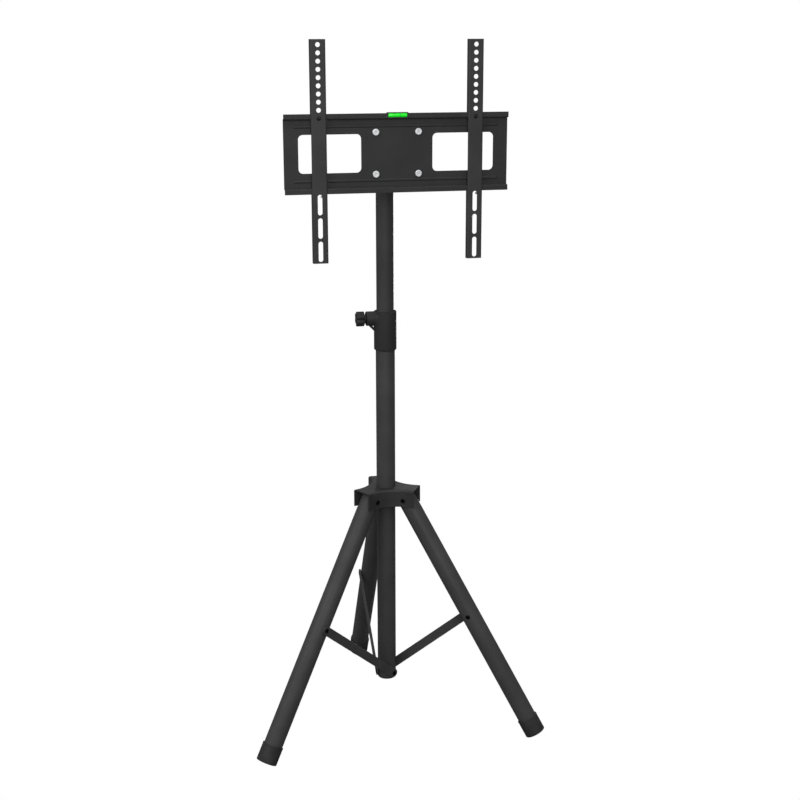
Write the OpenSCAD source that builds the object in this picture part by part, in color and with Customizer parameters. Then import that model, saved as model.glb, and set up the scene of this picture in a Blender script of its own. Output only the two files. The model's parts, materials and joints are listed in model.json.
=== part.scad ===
// Tripod floor stand for a flat display: a folding three-leg base with a sliding hub,
// a telescopic mast, a tilting head and a slotted mounting plate with two hooked arms.
// Millimetres, +Z up, the display faces -Y, the floor is at Z = 0.

/* [Base] */
// Angle of an open leg from the column
leg_angle = 30; // [26:1:32]
// Leg length from its pivot to the end of its foot cap
leg_reach = 584; // [480:2:700]
// Outer diameter of a leg tube
leg_d = 40; // [34:1:42]
// Gap between a folded leg and the column
pivot_gap = 5.5; // [5:0.5:14]
// Distance along a leg from its pivot to the brace pin
brace_at = 287.4; // [240:0.2:340]
// Brace length between its two pins
brace_len = 246; // [215:1:290]
// Brace width
brace_w = 19; // [14:0.5:22]
// Brace thickness
brace_t = 3; // [2.5:0.25:4]
// Length of a foot cap
foot_len = 38; // [28:1:50]

/* [Column and mast] */
// Outer diameter of the lower tube
column_d = 40; // [38:1:42]
// Outer diameter of the mast
mast_d = 36; // [32:0.5:36]
// Height of the top of the clamp collar
collar_top = 919; // [820:1:1050]
// Height of the clamp collar
collar_h = 82; // [70:1:100]
// Wall of the clamp collar round the lower tube
collar_wall = 3.5; // [3:0.25:8]
// Length of the mast inside the lower tube
mast_in = 320; // [260:5:360]
// Diameter of the clamp knob
knob_d = 31; // [26:1:38]
// Length of the clamp knob
knob_len = 20; // [16:1:26]

/* [Hub] */
// Height of the pressed hub
hub_h = 37; // [34:1:45]
// Length of the hub's arms beyond the leg pivots
hub_arm = 23.5; // [18:0.5:34]
// Sheet thickness of the hub
hub_t = 2.5; // [2:0.1:3]

/* [Mounting plate] */
// Height of the plate's centre above the floor
plate_mid = 1251.2; // [1150:1:1400]
// Plate width
plate_w = 441; // [380:1:500]
// Plate height
plate_h = 151; // [130:1:180]
// Distance from the mast axis to the front of the plate's lips
plate_reach = 128; // [116:1:140]
// Height of the upper and lower lips
lip_h = 11; // [9:0.5:14]
// Depth of the plate's step between lip and web
step_d = 10; // [9:0.5:13]
// Window width
window_w = 122; // [100:1:140]
// Window height
window_h = 73; // [60:1:84]
// Distance between the two fixing bolt columns
bolt_dx = 84; // [75:1:88]
// Distance between the two fixing bolt rows
bolt_dz = 80; // [72:1:86]

/* [Arms] */
// Arm length
arm_len = 421; // [380:1:470]
// Arm width
arm_w = 30; // [28:0.5:36]
// Distance between the two arms
arm_gap = 307; // [200:1:340]
// Height of the arms above the plate's upper edge
arm_up = 137; // [116:1:160]
// Distance between two round holes
hole_pitch = 15; // [13:0.5:17]
// Diameter of the holes and width of the slots
hole_d = 9; // [7:0.5:10]
// Length of a slot
slot_len = 39.3; // [34:0.1:41]

/* [Hidden] */
$fn = 64;

// Fits
run = 0.06;       // radial clearance of a pin that turns in its hole
glide = 0.1;      // radial clearance of a tube that slides
gap = 0.3;        // clearance between parts that pass each other

// Tubes
tube_t = 1.5;
column_r = column_d / 2;
mast_r = mast_d / 2;
leg_r = leg_d / 2;
collar_d = column_d + 2 * collar_wall;
cap_t = 2;                      // wall of a foot cap
cap_floor = 4;
foot_r = leg_r + cap_t;
foot_edge = 1.5;                // rounding of the foot's lower edge
foot_tip = leg_reach - foot_edge;       // the rounding's centre, along the leg
foot_ring = foot_r - foot_edge;

// Base linkage: a leg, its brace and the column form one triangle
pivot_r = column_r + pivot_gap + leg_r;
pivot_z = foot_tip * cos(leg_angle) + foot_ring * sin(leg_angle) + foot_edge;
pin_x = pivot_r + brace_at * sin(leg_angle);
pin_z = pivot_z - brace_at * cos(leg_angle);
brace_rise = sqrt(brace_len * brace_len - pin_x * pin_x);
brace_angle = atan(brace_rise / pin_x);
column_pin_z = pin_z - brace_rise;
column_bottom = column_pin_z - 14;
LEG_AT = [210, 330, 90];        // directions of the left, right and rear legs
leg_above = 9;                  // leg tube above its pivot
rivet_r = 4;
rivet_bore_r = 3.4;
rivet_bore = 5;                 // depth of the blind bore in a rivet's head
rivet_head_r = 5;
rivet_head_t = 1;
plug_t = 4;                     // flange of the plug in the column's lower end
plug_top = column_pin_z - rivet_head_r - 0.4;
brace_y = max(leg_r, column_r) + 1;     // inner face of a brace, beside the leg and the column

// The footprint's middle is the origin, so the column stands behind or before it
foot_out = pivot_r + foot_tip * sin(leg_angle);
foot_back = foot_out + foot_ring * cos(leg_angle) + foot_edge;
foot_front = foot_out / 2 + foot_ring * sqrt(0.75 + pow(cos(leg_angle) / 2, 2)) + foot_edge;
column_y = (foot_front - foot_back) / 2;

// Hub
hub_top = pivot_z + hub_t + 21.1;
hub_low = hub_top - hub_h;
arm_half = leg_r + gap + 0.5 + hub_t;   // half of an arm's outer width at its narrowest
waist_out = 11.1;
waist_r = arm_half / sin(60) + waist_out;       // middle of a hollow edge, from the axis
// The hollow edge is an arc whose centre lies on the bisector of two arms
edge_r = (arm_half - waist_r * sin(60)) / (sin(60) - 1);
edge_c = waist_r + edge_r;
hub_arm_r = pivot_r + hub_arm;
// Where a pivot rivet's head meets the hollow flange, from the arm's middle
rivet_seat = edge_c * sin(60)
  - sqrt(edge_r * edge_r - pow(edge_c * cos(60) - pivot_r + rivet_head_r, 2)) + 0.03;
sleeve_t = 2.2;
lock_dir = 30;                  // direction of the hub's lock screw
lock_z = hub_low + hub_h / 2 - 5;
screw_r = 4;
nut_af = 13;
nut_h = 6.5;
small_knob_d = 26;
hub_knob_d = 22;
small_knob_len = 16;

// Collar
collar_low = collar_top - collar_h;
column_top = collar_top - 39;
boss_r = 15;
boss_len = collar_d / 2 + 17;
boss_z = collar_top - boss_r;
insert_r = 7;
insert_len = 12;
pad_r = 6;
pad_t = 2.4;

// Mast
mast_low = column_top - mast_in;
mast_top = plate_mid + 21;
guide_h = 12;
guide_spigot = 20;

// Head
socket_t = 3.5;
socket_low = plate_mid - 46;
socket_top = mast_top + 6.2;
socket_r = mast_r + glide / 2 + socket_t;
tilt_y = -mast_r - 44;
tilt_z = plate_mid;
tilt_r = 5;
lug_r = 18;
lug_t = 4;
lug_x = mast_r - 4;             // inner face of a lug
ear_t = 3;
ear_x = lug_x + lug_t + gap;    // inner face of an ear
ear_r = 16;
bracket_t = 3;
bracket_w = bolt_dx + 20;
bracket_h = bolt_dz + 20;
head_nut_h = 6.5;
head_lock_z = socket_low + 16;
tilt_knob_d = 34;
tilt_knob_len = 20;
tilt_washer_t = 1.5;

// Plate: lips in front, web behind, a step between them
sheet = 2;
plate_front = -plate_reach;
web_front = plate_front + step_d - sheet;
web_back = web_front + sheet;
plate_top = plate_mid + plate_h / 2;
plate_bottom = plate_mid - plate_h / 2;
window_x = (plate_w + bolt_dx) / 4;     // midway between the bolts and the plate's edge
window_r = 9;
rib_w = 5.7;
rib_h = 1.4;
rib_in = 24;                    // rib centre from the plate's edge
rib_len = plate_w - 37;
bolt_r = 3;
bolt_head_r = 6.4;
bolt_head_h = 4;
bolt_nut_af = 10;
bolt_nut_h = 5;
level_w = 41;
level_d = 10;
level_up = 1.3;                 // level above the plate's edge
level_wall = 1;
level_h = lip_h - sheet + level_up;     // it stands on the upper step
vial_r = level_h / 2 - level_wall - 0.05;
vial_len = level_w - 4;

// Arms: a shallow channel with hooks behind the upper lip
arm_t = 2;
arm_depth = 12;
arm_front = plate_front - 3;
arm_top = plate_top + arm_up;
arm_low = arm_top - arm_len;
arm_x = arm_gap / 2;
hole_first = 10;
hole_n = 10;
slot_n = 3;
slot_pitch = 3 * hole_pitch;
slot_first = arm_len - 113;
hook_gap = 0.3;
safety_r = 2.5;
safety_z = plate_bottom - 5;
safety_len = 13;

// Basic shapes

// Places children in the frame of the leg that points in direction a
module toward(a) {
  translate([0, column_y, 0]) rotate([0, 0, a]) children();
}

// Places children at a leg's pivot with +Z along the leg, away from the hub
module along_leg(a) {
  toward(a) translate([pivot_r, 0, pivot_z]) rotate([0, 180 - leg_angle, 0]) children();
}

// Places children at the column with +X along the brace
module along_brace(a) {
  toward(a) translate([0, 0, column_pin_z]) rotate([0, -brace_angle, 0]) children();
}

// Everything above the base stands on the column's axis
module on_column() {
  translate([0, column_y, 0]) children();
}

// Cylinder from a to b along Y
module rod_y(r, a, b) {
  translate([0, b, 0]) rotate([90, 0, 0]) cylinder(r = r, h = b - a);
}

// Cylinder from a to b along X
module rod_x(r, a, b) {
  translate([a, 0, 0]) rotate([0, 90, 0]) cylinder(r = r, h = b - a);
}

module tube(r, t, a, b) {
  translate([0, 0, a]) difference() {
    cylinder(r = r, h = b - a);
    translate([0, 0, -1]) cylinder(r = r - t, h = b - a + 2);
  }
}

// Flat bar outline with round ends, from the origin along X
module slot_shape(len, w) {
  circle(d = w);
  translate([len, 0]) circle(d = w);
  translate([0, -w / 2]) square([len, w]);
}

module rounded_rect(w, h, r) {
  square([w - 2 * r, h], center = true);
  square([w, h - 2 * r], center = true);
  for (x = [-1, 1])
    for (y = [-1, 1])
      translate([x * (w / 2 - r), y * (h / 2 - r)]) circle(r = r);
}

// Half outline of a round body with a rounded lower edge, to be turned about Z
module round_foot(r, h, edge) {
  translate([0, edge]) square([r, h - edge]);
  square([r - edge, edge]);
  intersection() {
    translate([r - edge, edge]) circle(r = edge, $fn = 32);
    square([r, h]);
  }
}

// Lobed hand knob along +Z with a narrow neck at its foot
module knob_shape(d, len, bore_r, bore_len) {
  lobes = 6;
  lobe_r = d / 6;
  neck = len / 6;
  difference() {
    union() {
      cylinder(d = d * 0.58, h = neck + 1);
      translate([0, 0, neck]) linear_extrude(len - neck) {
        circle(d = d * 0.82);
        for (i = [0 : lobes - 1])
          rotate(i * 360 / lobes) translate([d / 2 - lobe_r, 0]) circle(r = lobe_r, $fn = 32);
      }
    }
    translate([0, 0, -1]) cylinder(r = bore_r, h = bore_len + 1);
  }
}

module hex_nut(af, h, bore_r) {
  difference() {
    cylinder(d = af / cos(30), h = h, $fn = 6);
    translate([0, 0, -1]) cylinder(r = bore_r, h = h + 2);
  }
}

// Column and collar

module lower_tube() {
  color("#303030") on_column() difference() {
    tube(column_r, tube_t, column_bottom + plug_t, column_top);
    for (a = LEG_AT)
      rotate([0, 0, a]) translate([0, 0, column_pin_z]) rod_y(rivet_r, column_r - 6, column_r + 2);
  }
}

// Rubber plug: a rounded flange as wide as the tube, and a spigot inside it
module column_end_cap() {
  color("#262626") on_column() {
    translate([0, 0, column_bottom]) rotate_extrude() round_foot(column_r, plug_t, 3);
    translate([0, 0, column_bottom]) cylinder(r = column_r - tube_t, h = plug_top - column_bottom);
  }
}

// Short rivets in the wall, each the pivot of one brace
module column_rivets() {
  inner = column_r - tube_t - 1;
  color("#202020") for (a = LEG_AT)
    toward(a) translate([0, 0, column_pin_z]) difference() {
      union() {
        rod_y(rivet_r, inner - 2, brace_y + brace_t + 0.1);
        rod_y(rivet_head_r, inner - 2.4, inner);
        rod_y(rivet_head_r, column_r + 0.05, brace_y - 0.05);
        rod_y(rivet_head_r, brace_y + brace_t + 0.05, brace_y + brace_t + 0.05 + rivet_head_t);
      }
      rod_y(rivet_bore_r, brace_y + brace_t + rivet_head_t - rivet_bore, brace_y + brace_t + 3);
    }
}

module collar() {
  rib_w = 5;
  color("#2b2b2b") on_column() difference() {
    union() {
      translate([0, 0, collar_low]) rotate_extrude() {
        translate([0, 3]) square([collar_d / 2, collar_h - 3]);
        square([collar_d / 2 - 3, 3]);
        translate([collar_d / 2 - 3, 3]) intersection() {
          circle(r = 3, $fn = 32);
          translate([0, -4]) square([4, 8]);
        }
      }
      translate([0, 0, boss_z]) rod_x(boss_r, -boss_len, 0);
      // slanted rib under the boss, with a small opening behind it
      translate([-boss_len + 6, 0, boss_z - boss_r + 1.5]) rotate([0, 46, 0])
        translate([0, -rib_w / 2, -1.5]) cube([20, rib_w, 5.5]);
    }
    translate([0, 0, collar_low - 1]) cylinder(r = column_r, h = column_top - collar_low + 1);
    translate([0, 0, collar_low]) cylinder(r = mast_r + glide / 2, h = collar_h + 1);
    translate([0, 0, boss_z]) rod_x(pad_r + 0.1, -collar_d / 2, 0);
    translate([0, 0, boss_z]) rod_x(screw_r + 0.5, -boss_len - 1, 0);
    translate([0, 0, boss_z]) rod_x(insert_r, -boss_len - 1, -boss_len + insert_len);
  }
}

// Threaded brass insert pressed into the boss
module collar_insert() {
  color("#b08d3c") on_column() translate([0, 0, boss_z]) difference() {
    rod_x(insert_r, -boss_len, -boss_len + insert_len);
    rod_x(screw_r + run, -boss_len - 1, -boss_len + insert_len + 1);
  }
}

// Nylon pad that the stud presses on the mast
module clamp_pad() {
  color("#d8d6cc") on_column() translate([0, 0, boss_z]) difference() {
    rod_x(pad_r, -mast_r - pad_t, -mast_r + 4);
    translate([0, 0, -10]) cylinder(r = mast_r + glide / 2, h = 20);
  }
}

module collar_knob() {
  color("#202020") on_column() translate([-boss_len - 0.8, 0, boss_z]) rotate([0, -90, 0])
    knob_shape(knob_d, knob_len, screw_r, knob_len - 4);
}

module collar_stud() {
  color("#8c8f92") on_column() translate([0, 0, boss_z])
    rod_x(screw_r, -boss_len - knob_len + 3.2, -mast_r - pad_t - 0.1);
}

// Hub

// Outline of the pressed hub, larger by grow along its hollow edges
module hub_outline(grow, arm_end) {
  difference() {
    circle(r = 1.3 * hub_arm_r);
    for (a = LEG_AT) {
      rotate(a + 60) translate([edge_c, 0]) circle(r = edge_r - grow, $fn = 128);
      rotate(a) translate([arm_end, -hub_arm_r]) square([hub_arm_r, 2 * hub_arm_r]);
    }
  }
}

module hub_bracket() {
  color("#303030") on_column() difference() {
    translate([0, 0, hub_low]) linear_extrude(hub_h) hub_outline(0, hub_arm_r);
    translate([0, 0, hub_low - 1]) linear_extrude(hub_h - hub_t + 1)
      hub_outline(-hub_t, hub_arm_r + 20);
    translate([0, 0, hub_low]) cylinder(r = column_r + glide, h = hub_h + 1);
    for (a = LEG_AT)
      rotate([0, 0, a]) translate([pivot_r, 0, pivot_z]) rod_y(rivet_r, -arm_half - 16, arm_half + 16);
    rotate([0, 0, lock_dir]) translate([0, 0, lock_z]) rod_x(screw_r + 0.5, 0, waist_r + 5);
  }
}

// Guide tube welded under the hub's top
module hub_sleeve() {
  color("#303030") on_column() difference() {
    tube(column_r + glide + sleeve_t, sleeve_t, hub_low + 1, hub_top - hub_t);
    rotate([0, 0, lock_dir]) translate([0, 0, lock_z]) rod_x(screw_r + 0.5, 0, waist_r);
  }
}

module hub_nut() {
  color("#8c8f92") on_column() rotate([0, 0, lock_dir])
    translate([waist_r - hub_t - nut_h - 0.6, 0, lock_z]) rotate([0, 90, 0])
      hex_nut(nut_af, nut_h, screw_r + run);
}

module hub_rivets() {
  color("#202020") for (a = LEG_AT)
    toward(a) translate([pivot_r, 0, pivot_z]) difference() {
      union() {
        rod_y(rivet_r, -rivet_seat, rivet_seat);
        rod_y(rivet_head_r, rivet_seat - 0.1, rivet_seat + rivet_head_t);
        rod_y(rivet_head_r, -rivet_seat - rivet_head_t, 0.1 - rivet_seat);
      }
      for (s = [0, 1])
        mirror([0, s, 0])
          rod_y(rivet_bore_r, rivet_seat + rivet_head_t - rivet_bore, rivet_seat + 3);
    }
}

// Nylon washers between each leg and the hub's flanges
module hub_washers() {
  washer_t = 0.7;
  color("#d8d6cc") for (a = LEG_AT)
    for (s = [-1, 1])
      toward(a) translate([pivot_r, 0, pivot_z]) difference() {
        translate([0, s * (leg_r + 0.05 + washer_t / 2), 0]) rod_y(7, -washer_t / 2, washer_t / 2);
        rod_y(rivet_r + run, -leg_r - 10, leg_r + 10);
      }
}

module hub_lock_knob() {
  color("#202020") on_column() rotate([0, 0, lock_dir]) translate([waist_r + 3, 0, lock_z])
    rotate([0, 90, 0]) knob_shape(hub_knob_d, small_knob_len, screw_r, small_knob_len - 4);
}

module hub_lock_screw() {
  color("#8c8f92") on_column() rotate([0, 0, lock_dir]) translate([0, 0, lock_z])
    rod_x(screw_r, column_r + 0.05, waist_r + small_knob_len - 1);
}

// Legs and braces

module leg(a) {
  color("#343434") along_leg(a) difference() {
    tube(leg_r, tube_t, -leg_above, leg_reach - cap_floor);
    rod_y(rivet_r + run, -leg_r - 1, leg_r + 1);
    translate([0, 0, brace_at]) rod_y(rivet_r, -leg_r - 1, leg_r + 1);
  }
}

module foot(a) {
  color("#222222") along_leg(a) translate([0, 0, leg_reach]) rotate([0, 180, 0]) difference() {
    rotate_extrude() round_foot(foot_r, foot_len, foot_edge);
    translate([0, 0, cap_floor]) cylinder(r = leg_r, h = foot_len);
  }
}

// Rivet through the leg, flush on the brace's side
module leg_rivet(a) {
  color("#202020") along_leg(a) translate([0, 0, brace_at]) difference() {
    union() {
      rod_y(rivet_r, -leg_r - 0.5, leg_r - 0.5);
      rod_y(rivet_head_r, -leg_r - rivet_head_t, -leg_r - 0.05);
    }
    rod_y(rivet_bore_r, -leg_r - 3, rivet_bore - leg_r - rivet_head_t);
  }
}

module brace(a) {
  color("#2c2c2c") along_brace(a) difference() {
    translate([0, brace_y + brace_t, 0]) rotate([90, 0, 0])
      linear_extrude(brace_t) slot_shape(brace_len, brace_w);
    rod_y(rivet_r + run, brace_y - 5, brace_y + 10);
    translate([brace_len, 0, 0]) rod_y(rivet_r, brace_y - 5, brace_y + 10);
  }
}

// The brace's half of the pin that it shares with the leg
module brace_rivet(a) {
  color("#202020") along_brace(a) translate([brace_len, 0, 0]) difference() {
    union() {
      rod_y(rivet_r, leg_r + 0.4, brace_y + brace_t + 0.1);
      rod_y(rivet_head_r, brace_y + brace_t, brace_y + brace_t + rivet_head_t);
    }
    rod_y(rivet_bore_r, leg_r + 1.4, brace_y + 10);
  }
}

// Mast

module mast() {
  color("#303030") on_column() tube(mast_r, tube_t, mast_low, mast_top);
}

// Guide plug in the mast's lower end, running in the lower tube
module mast_guide() {
  color("#d8d6cc") on_column() {
    translate([0, 0, mast_low - guide_h]) cylinder(r = column_r - tube_t - 0.05, h = guide_h);
    translate([0, 0, mast_low]) cylinder(r = mast_r - tube_t, h = guide_spigot);
  }
}

module mast_cap() {
  color("#262626") on_column() {
    translate([0, 0, mast_top - 15]) cylinder(r = mast_r - tube_t, h = 15);
    translate([0, 0, mast_top]) cylinder(r = mast_r, h = 3);
  }
}

// Head

// Socket over the mast's top, with two lugs for the tilt bolt
module head_socket() {
  color("#303030") on_column() difference() {
    union() {
      translate([0, 0, socket_low]) cylinder(r = socket_r, h = socket_top - socket_low);
      for (s = [-1, 1])
        translate([s * (lug_x + lug_t / 2) - lug_t / 2, 0, tilt_z]) {
          translate([0, tilt_y, 0]) rod_x(lug_r, 0, lug_t);
          translate([0, tilt_y, -lug_r]) cube([lug_t, -tilt_y, 2 * lug_r]);
        }
    }
    translate([0, 0, socket_low - 1]) cylinder(r = mast_r + glide / 2, h = mast_top + 4.2 - socket_low);
    translate([0, tilt_y, tilt_z]) rod_x(tilt_r, -40, 40);
    translate([0, 0, head_lock_z]) rod_y(screw_r + 0.5, 0, 40);
  }
}

module head_nut() {
  color("#8c8f92") on_column() translate([0, socket_r + 0.1 + head_nut_h, head_lock_z])
    rotate([90, 0, 0]) hex_nut(nut_af, head_nut_h, screw_r + run);
}

module head_lock_screw() {
  color("#8c8f92") on_column() translate([0, 0, head_lock_z])
    rod_y(screw_r, mast_r + 0.1, socket_r + head_nut_h + small_knob_len - 2);
}

module head_lock_knob() {
  color("#202020") on_column() translate([0, socket_r + head_nut_h + 1.5, head_lock_z])
    rotate([-90, 0, 0]) knob_shape(small_knob_d, small_knob_len, screw_r, small_knob_len - 3.5);
}

// Hexagon bolt fixed in the lugs
module tilt_bolt() {
  out = ear_x + ear_t + tilt_washer_t + gap;
  color("#8c8f92") on_column() translate([0, tilt_y, tilt_z]) {
    rod_x(tilt_r, -ear_x - ear_t - gap, out + tilt_knob_len - 4);
    translate([-ear_x - ear_t - gap - 6, 0, 0]) rotate([0, 90, 0])
      cylinder(d = 17 / cos(30), h = 6, $fn = 6);
  }
}

module tilt_washer() {
  color("#8c8f92") on_column() translate([0, tilt_y, tilt_z]) difference() {
    rod_x(10, ear_x + ear_t + 0.1, ear_x + ear_t + tilt_washer_t);
    rod_x(tilt_r + run, 0, 60);
  }
}

module tilt_knob() {
  color("#202020") on_column() difference() {
    translate([ear_x + ear_t + tilt_washer_t + 0.2, tilt_y, tilt_z]) rotate([0, 90, 0])
      knob_shape(tilt_knob_d, tilt_knob_len, tilt_r + 0.5, tilt_knob_len - 3);
    translate([0, tilt_y, tilt_z]) rod_x(8, 0, ear_x + ear_t + tilt_washer_t + 0.2 + 9);
  }
}

// Threaded bush moulded into the tilt knob
module tilt_knob_nut() {
  color("#b08d3c") on_column() translate([0, tilt_y, tilt_z]) difference() {
    rod_x(8, ear_x + ear_t + tilt_washer_t + 0.2, ear_x + ear_t + tilt_washer_t + 9.2);
    rod_x(tilt_r + run, 0, 60);
  }
}

module bolt_places() {
  for (x = [-1, 1])
    for (z = [-1, 1])
      translate([x * bolt_dx / 2, 0, plate_mid + z * bolt_dz / 2]) children();
}

// Base plate behind the web, with two ears on the tilt bolt
module tilt_bracket() {
  color("#303030") on_column() difference() {
    union() {
      translate([0, web_back + bracket_t, plate_mid]) rotate([90, 0, 0])
        linear_extrude(bracket_t) rounded_rect(bracket_w, bracket_h, 8);
      for (s = [-1, 1])
        translate([s * (ear_x + ear_t / 2) - ear_t / 2, 0, tilt_z]) {
          translate([0, tilt_y, 0]) rod_x(ear_r, 0, ear_t);
          translate([0, web_back + 1, -ear_r]) cube([ear_t, tilt_y - web_back - 1, 2 * ear_r]);
        }
    }
    translate([0, tilt_y, tilt_z]) rod_x(tilt_r + run, -40, 40);
    bolt_places() rod_y(bolt_r + 0.3, web_back - 1, web_back + 10);
  }
}

// Mounting plate

module mounting_plate() {
  color("#303030") on_column() difference() {
    union() {
      translate([-plate_w / 2, web_front, plate_bottom + lip_h - sheet])
        cube([plate_w, sheet, plate_h - 2 * (lip_h - sheet)]);
      for (z = [plate_bottom, plate_top - lip_h])
        translate([-plate_w / 2, plate_front, z]) cube([plate_w, sheet, lip_h]);
      for (z = [plate_bottom + lip_h - sheet, plate_top - lip_h])
        translate([-plate_w / 2, plate_front, z]) cube([plate_w, step_d, sheet]);
      for (z = [plate_bottom + rib_in, plate_top - rib_in])
        translate([-rib_len / 2, web_front + 0.1, z]) rotate([90, 0, 0])
          linear_extrude(rib_h) slot_shape(rib_len, rib_w);
    }
    for (s = [-1, 1])
      translate([s * window_x, web_back + 5, plate_mid]) rotate([90, 0, 0])
        linear_extrude(20) rounded_rect(window_w, window_h, window_r);
    bolt_places() rod_y(bolt_r + 0.3, web_front - 5, web_back + 5);
    translate([-level_w / 2, plate_front - 1, plate_top + level_up - level_h])
      cube([level_w, sheet + 1, level_h]);
  }
}

module plate_bolts() {
  color("#c9cbcd") on_column() bolt_places() difference() {
    union() {
      rod_y(bolt_r, web_front - 1, web_back + bracket_t + bolt_nut_h + 1.5);
      rod_y(bolt_head_r, web_front - bolt_head_h, web_front);
    }
    translate([0, web_front - 2, 0]) rotate([90, 0, 0]) cylinder(d = 4.6, h = 5, $fn = 6);
  }
}

module plate_nuts() {
  color("#c9cbcd") on_column() bolt_places()
    translate([0, web_back + bracket_t + bolt_nut_h, 0]) rotate([90, 0, 0])
      hex_nut(bolt_nut_af, bolt_nut_h, bolt_r);
}

// Black tray that clips into the upper lip and holds the vial
module level_frame() {
  z = plate_top + level_up - level_h;
  color("#161616") on_column() difference() {
    translate([-level_w / 2, plate_front - 0.5, z]) cube([level_w, level_d, level_h]);
    translate([-vial_len / 2, plate_front - 2, z + level_wall])
      cube([vial_len, level_d + 1.5 - level_wall, level_h - 2 * level_wall]);
  }
}

module level_vial() {
  color("#12e012") on_column()
    translate([0, plate_front + vial_r - 0.3, plate_top + level_up - level_h / 2])
      rod_x(vial_r, -vial_len / 2, vial_len / 2);
}

// Arms

// Side flange of an arm: full depth above and below the plate, with a hook behind the lip
module arm_side() {
  hook_low = plate_top - lip_h + sheet + hook_gap;
  translate([0, arm_front, arm_low]) cube([arm_t, arm_t, arm_len]);
  translate([0, arm_front, plate_top + hook_gap])
    cube([arm_t, arm_depth, arm_top - plate_top - hook_gap]);
  translate([0, plate_front + sheet + hook_gap, hook_low])
    cube([arm_t, arm_front + arm_depth - plate_front - sheet - hook_gap, plate_top + 1 - hook_low]);
  translate([0, arm_front, arm_low])
    cube([arm_t, arm_depth, plate_bottom - hook_gap - arm_low]);
}

module arm(x) {
  color("#383838") on_column() translate([x, 0, 0]) difference() {
    union() {
      translate([-arm_w / 2, arm_front, arm_low]) cube([arm_w, arm_t, arm_len]);
      translate([-arm_w / 2, 0, 0]) arm_side();
      translate([arm_w / 2 - arm_t, 0, 0]) arm_side();
    }
    for (i = [0 : hole_n - 1])
      translate([0, 0, arm_top - hole_first - i * hole_pitch])
        rod_y(hole_d / 2, arm_front - 1, arm_front + arm_t + 1);
    for (i = [0 : slot_n - 1])
      translate([0, arm_front + arm_t + 1, arm_top - slot_first - i * slot_pitch])
        rotate([90, 0, 0]) linear_extrude(arm_t + 2) rotate(90)
          translate([(hole_d - slot_len) / 2, 0]) slot_shape(slot_len - hole_d, hole_d);
    translate([0, plate_front + sheet, safety_z]) rod_x(safety_r + run, 0, arm_w);
  }
}

// Grub screw through the flange, under the plate's lower lip
module safety_screw(x) {
  color("#8c8f92") on_column() translate([x, plate_front + sheet, safety_z]) difference() {
    rod_x(safety_r, arm_w / 2 - safety_len, arm_w / 2);
    translate([arm_w / 2 - 2.5, 0, 0]) rotate([0, 90, 0]) cylinder(d = 2.5, h = 4, $fn = 6);
  }
}

lower_tube();
column_end_cap();
column_rivets();
collar();
collar_insert();
clamp_pad();
collar_knob();
collar_stud();
hub_bracket();
hub_sleeve();
hub_nut();
hub_rivets();
hub_washers();
hub_lock_knob();
hub_lock_screw();
leg(LEG_AT[0]);  // leg_left
leg(LEG_AT[1]);  // leg_right
leg(LEG_AT[2]);  // leg_rear
foot(LEG_AT[0]);  // foot_left
foot(LEG_AT[1]);  // foot_right
foot(LEG_AT[2]);  // foot_rear
leg_rivet(LEG_AT[0]);  // leg_rivet_left
leg_rivet(LEG_AT[1]);  // leg_rivet_right
leg_rivet(LEG_AT[2]);  // leg_rivet_rear
brace(LEG_AT[0]);  // brace_left
brace(LEG_AT[1]);  // brace_right
brace(LEG_AT[2]);  // brace_rear
brace_rivet(LEG_AT[0]);  // brace_rivet_left
brace_rivet(LEG_AT[1]);  // brace_rivet_right
brace_rivet(LEG_AT[2]);  // brace_rivet_rear
mast();
mast_guide();
mast_cap();
head_socket();
head_nut();
tilt_bolt();
head_lock_knob();
head_lock_screw();
tilt_bracket();
mounting_plate();
plate_bolts();
plate_nuts();
level_frame();
level_vial();
tilt_knob();
tilt_knob_nut();
tilt_washer();
arm(-arm_x);  // arm_left
arm(arm_x);  // arm_right
safety_screw(-arm_x);  // safety_screw_left
safety_screw(arm_x);  // safety_screw_right
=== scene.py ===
"""A folding tripod floor stand for a flat display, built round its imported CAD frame.

Metres, +Z up, the display faces -Y and the floor is at Z = 0.
"""
import json
from math import asin, atan2, cos, pi, radians, sin, sqrt, tan

import bmesh
import bpy
from mathutils import Matrix, Vector


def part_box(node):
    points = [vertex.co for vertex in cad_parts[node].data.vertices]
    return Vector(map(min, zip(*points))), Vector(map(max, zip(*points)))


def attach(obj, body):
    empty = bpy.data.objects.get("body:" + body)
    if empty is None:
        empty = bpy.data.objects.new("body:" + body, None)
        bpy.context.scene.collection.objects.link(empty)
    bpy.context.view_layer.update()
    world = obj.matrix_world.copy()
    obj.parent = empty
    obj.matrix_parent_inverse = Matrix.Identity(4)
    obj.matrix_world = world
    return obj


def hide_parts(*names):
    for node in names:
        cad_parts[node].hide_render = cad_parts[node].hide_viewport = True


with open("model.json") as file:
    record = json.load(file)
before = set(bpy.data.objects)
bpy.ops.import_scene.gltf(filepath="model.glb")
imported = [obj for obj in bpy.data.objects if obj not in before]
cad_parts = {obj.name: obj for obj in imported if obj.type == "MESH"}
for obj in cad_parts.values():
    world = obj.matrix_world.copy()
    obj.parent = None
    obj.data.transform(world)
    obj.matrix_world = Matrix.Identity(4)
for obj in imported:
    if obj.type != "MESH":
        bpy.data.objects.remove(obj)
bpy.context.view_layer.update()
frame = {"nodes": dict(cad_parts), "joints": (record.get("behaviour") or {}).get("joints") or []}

mm = 0.001


# ---------------------------------------------------------------------------
# Room: a plain white floor without shadows, a white surround, broad lights
# from the left, the front and the back, and a soft one above.
scene = bpy.context.scene
scene.view_settings.view_transform = "Standard"

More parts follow.
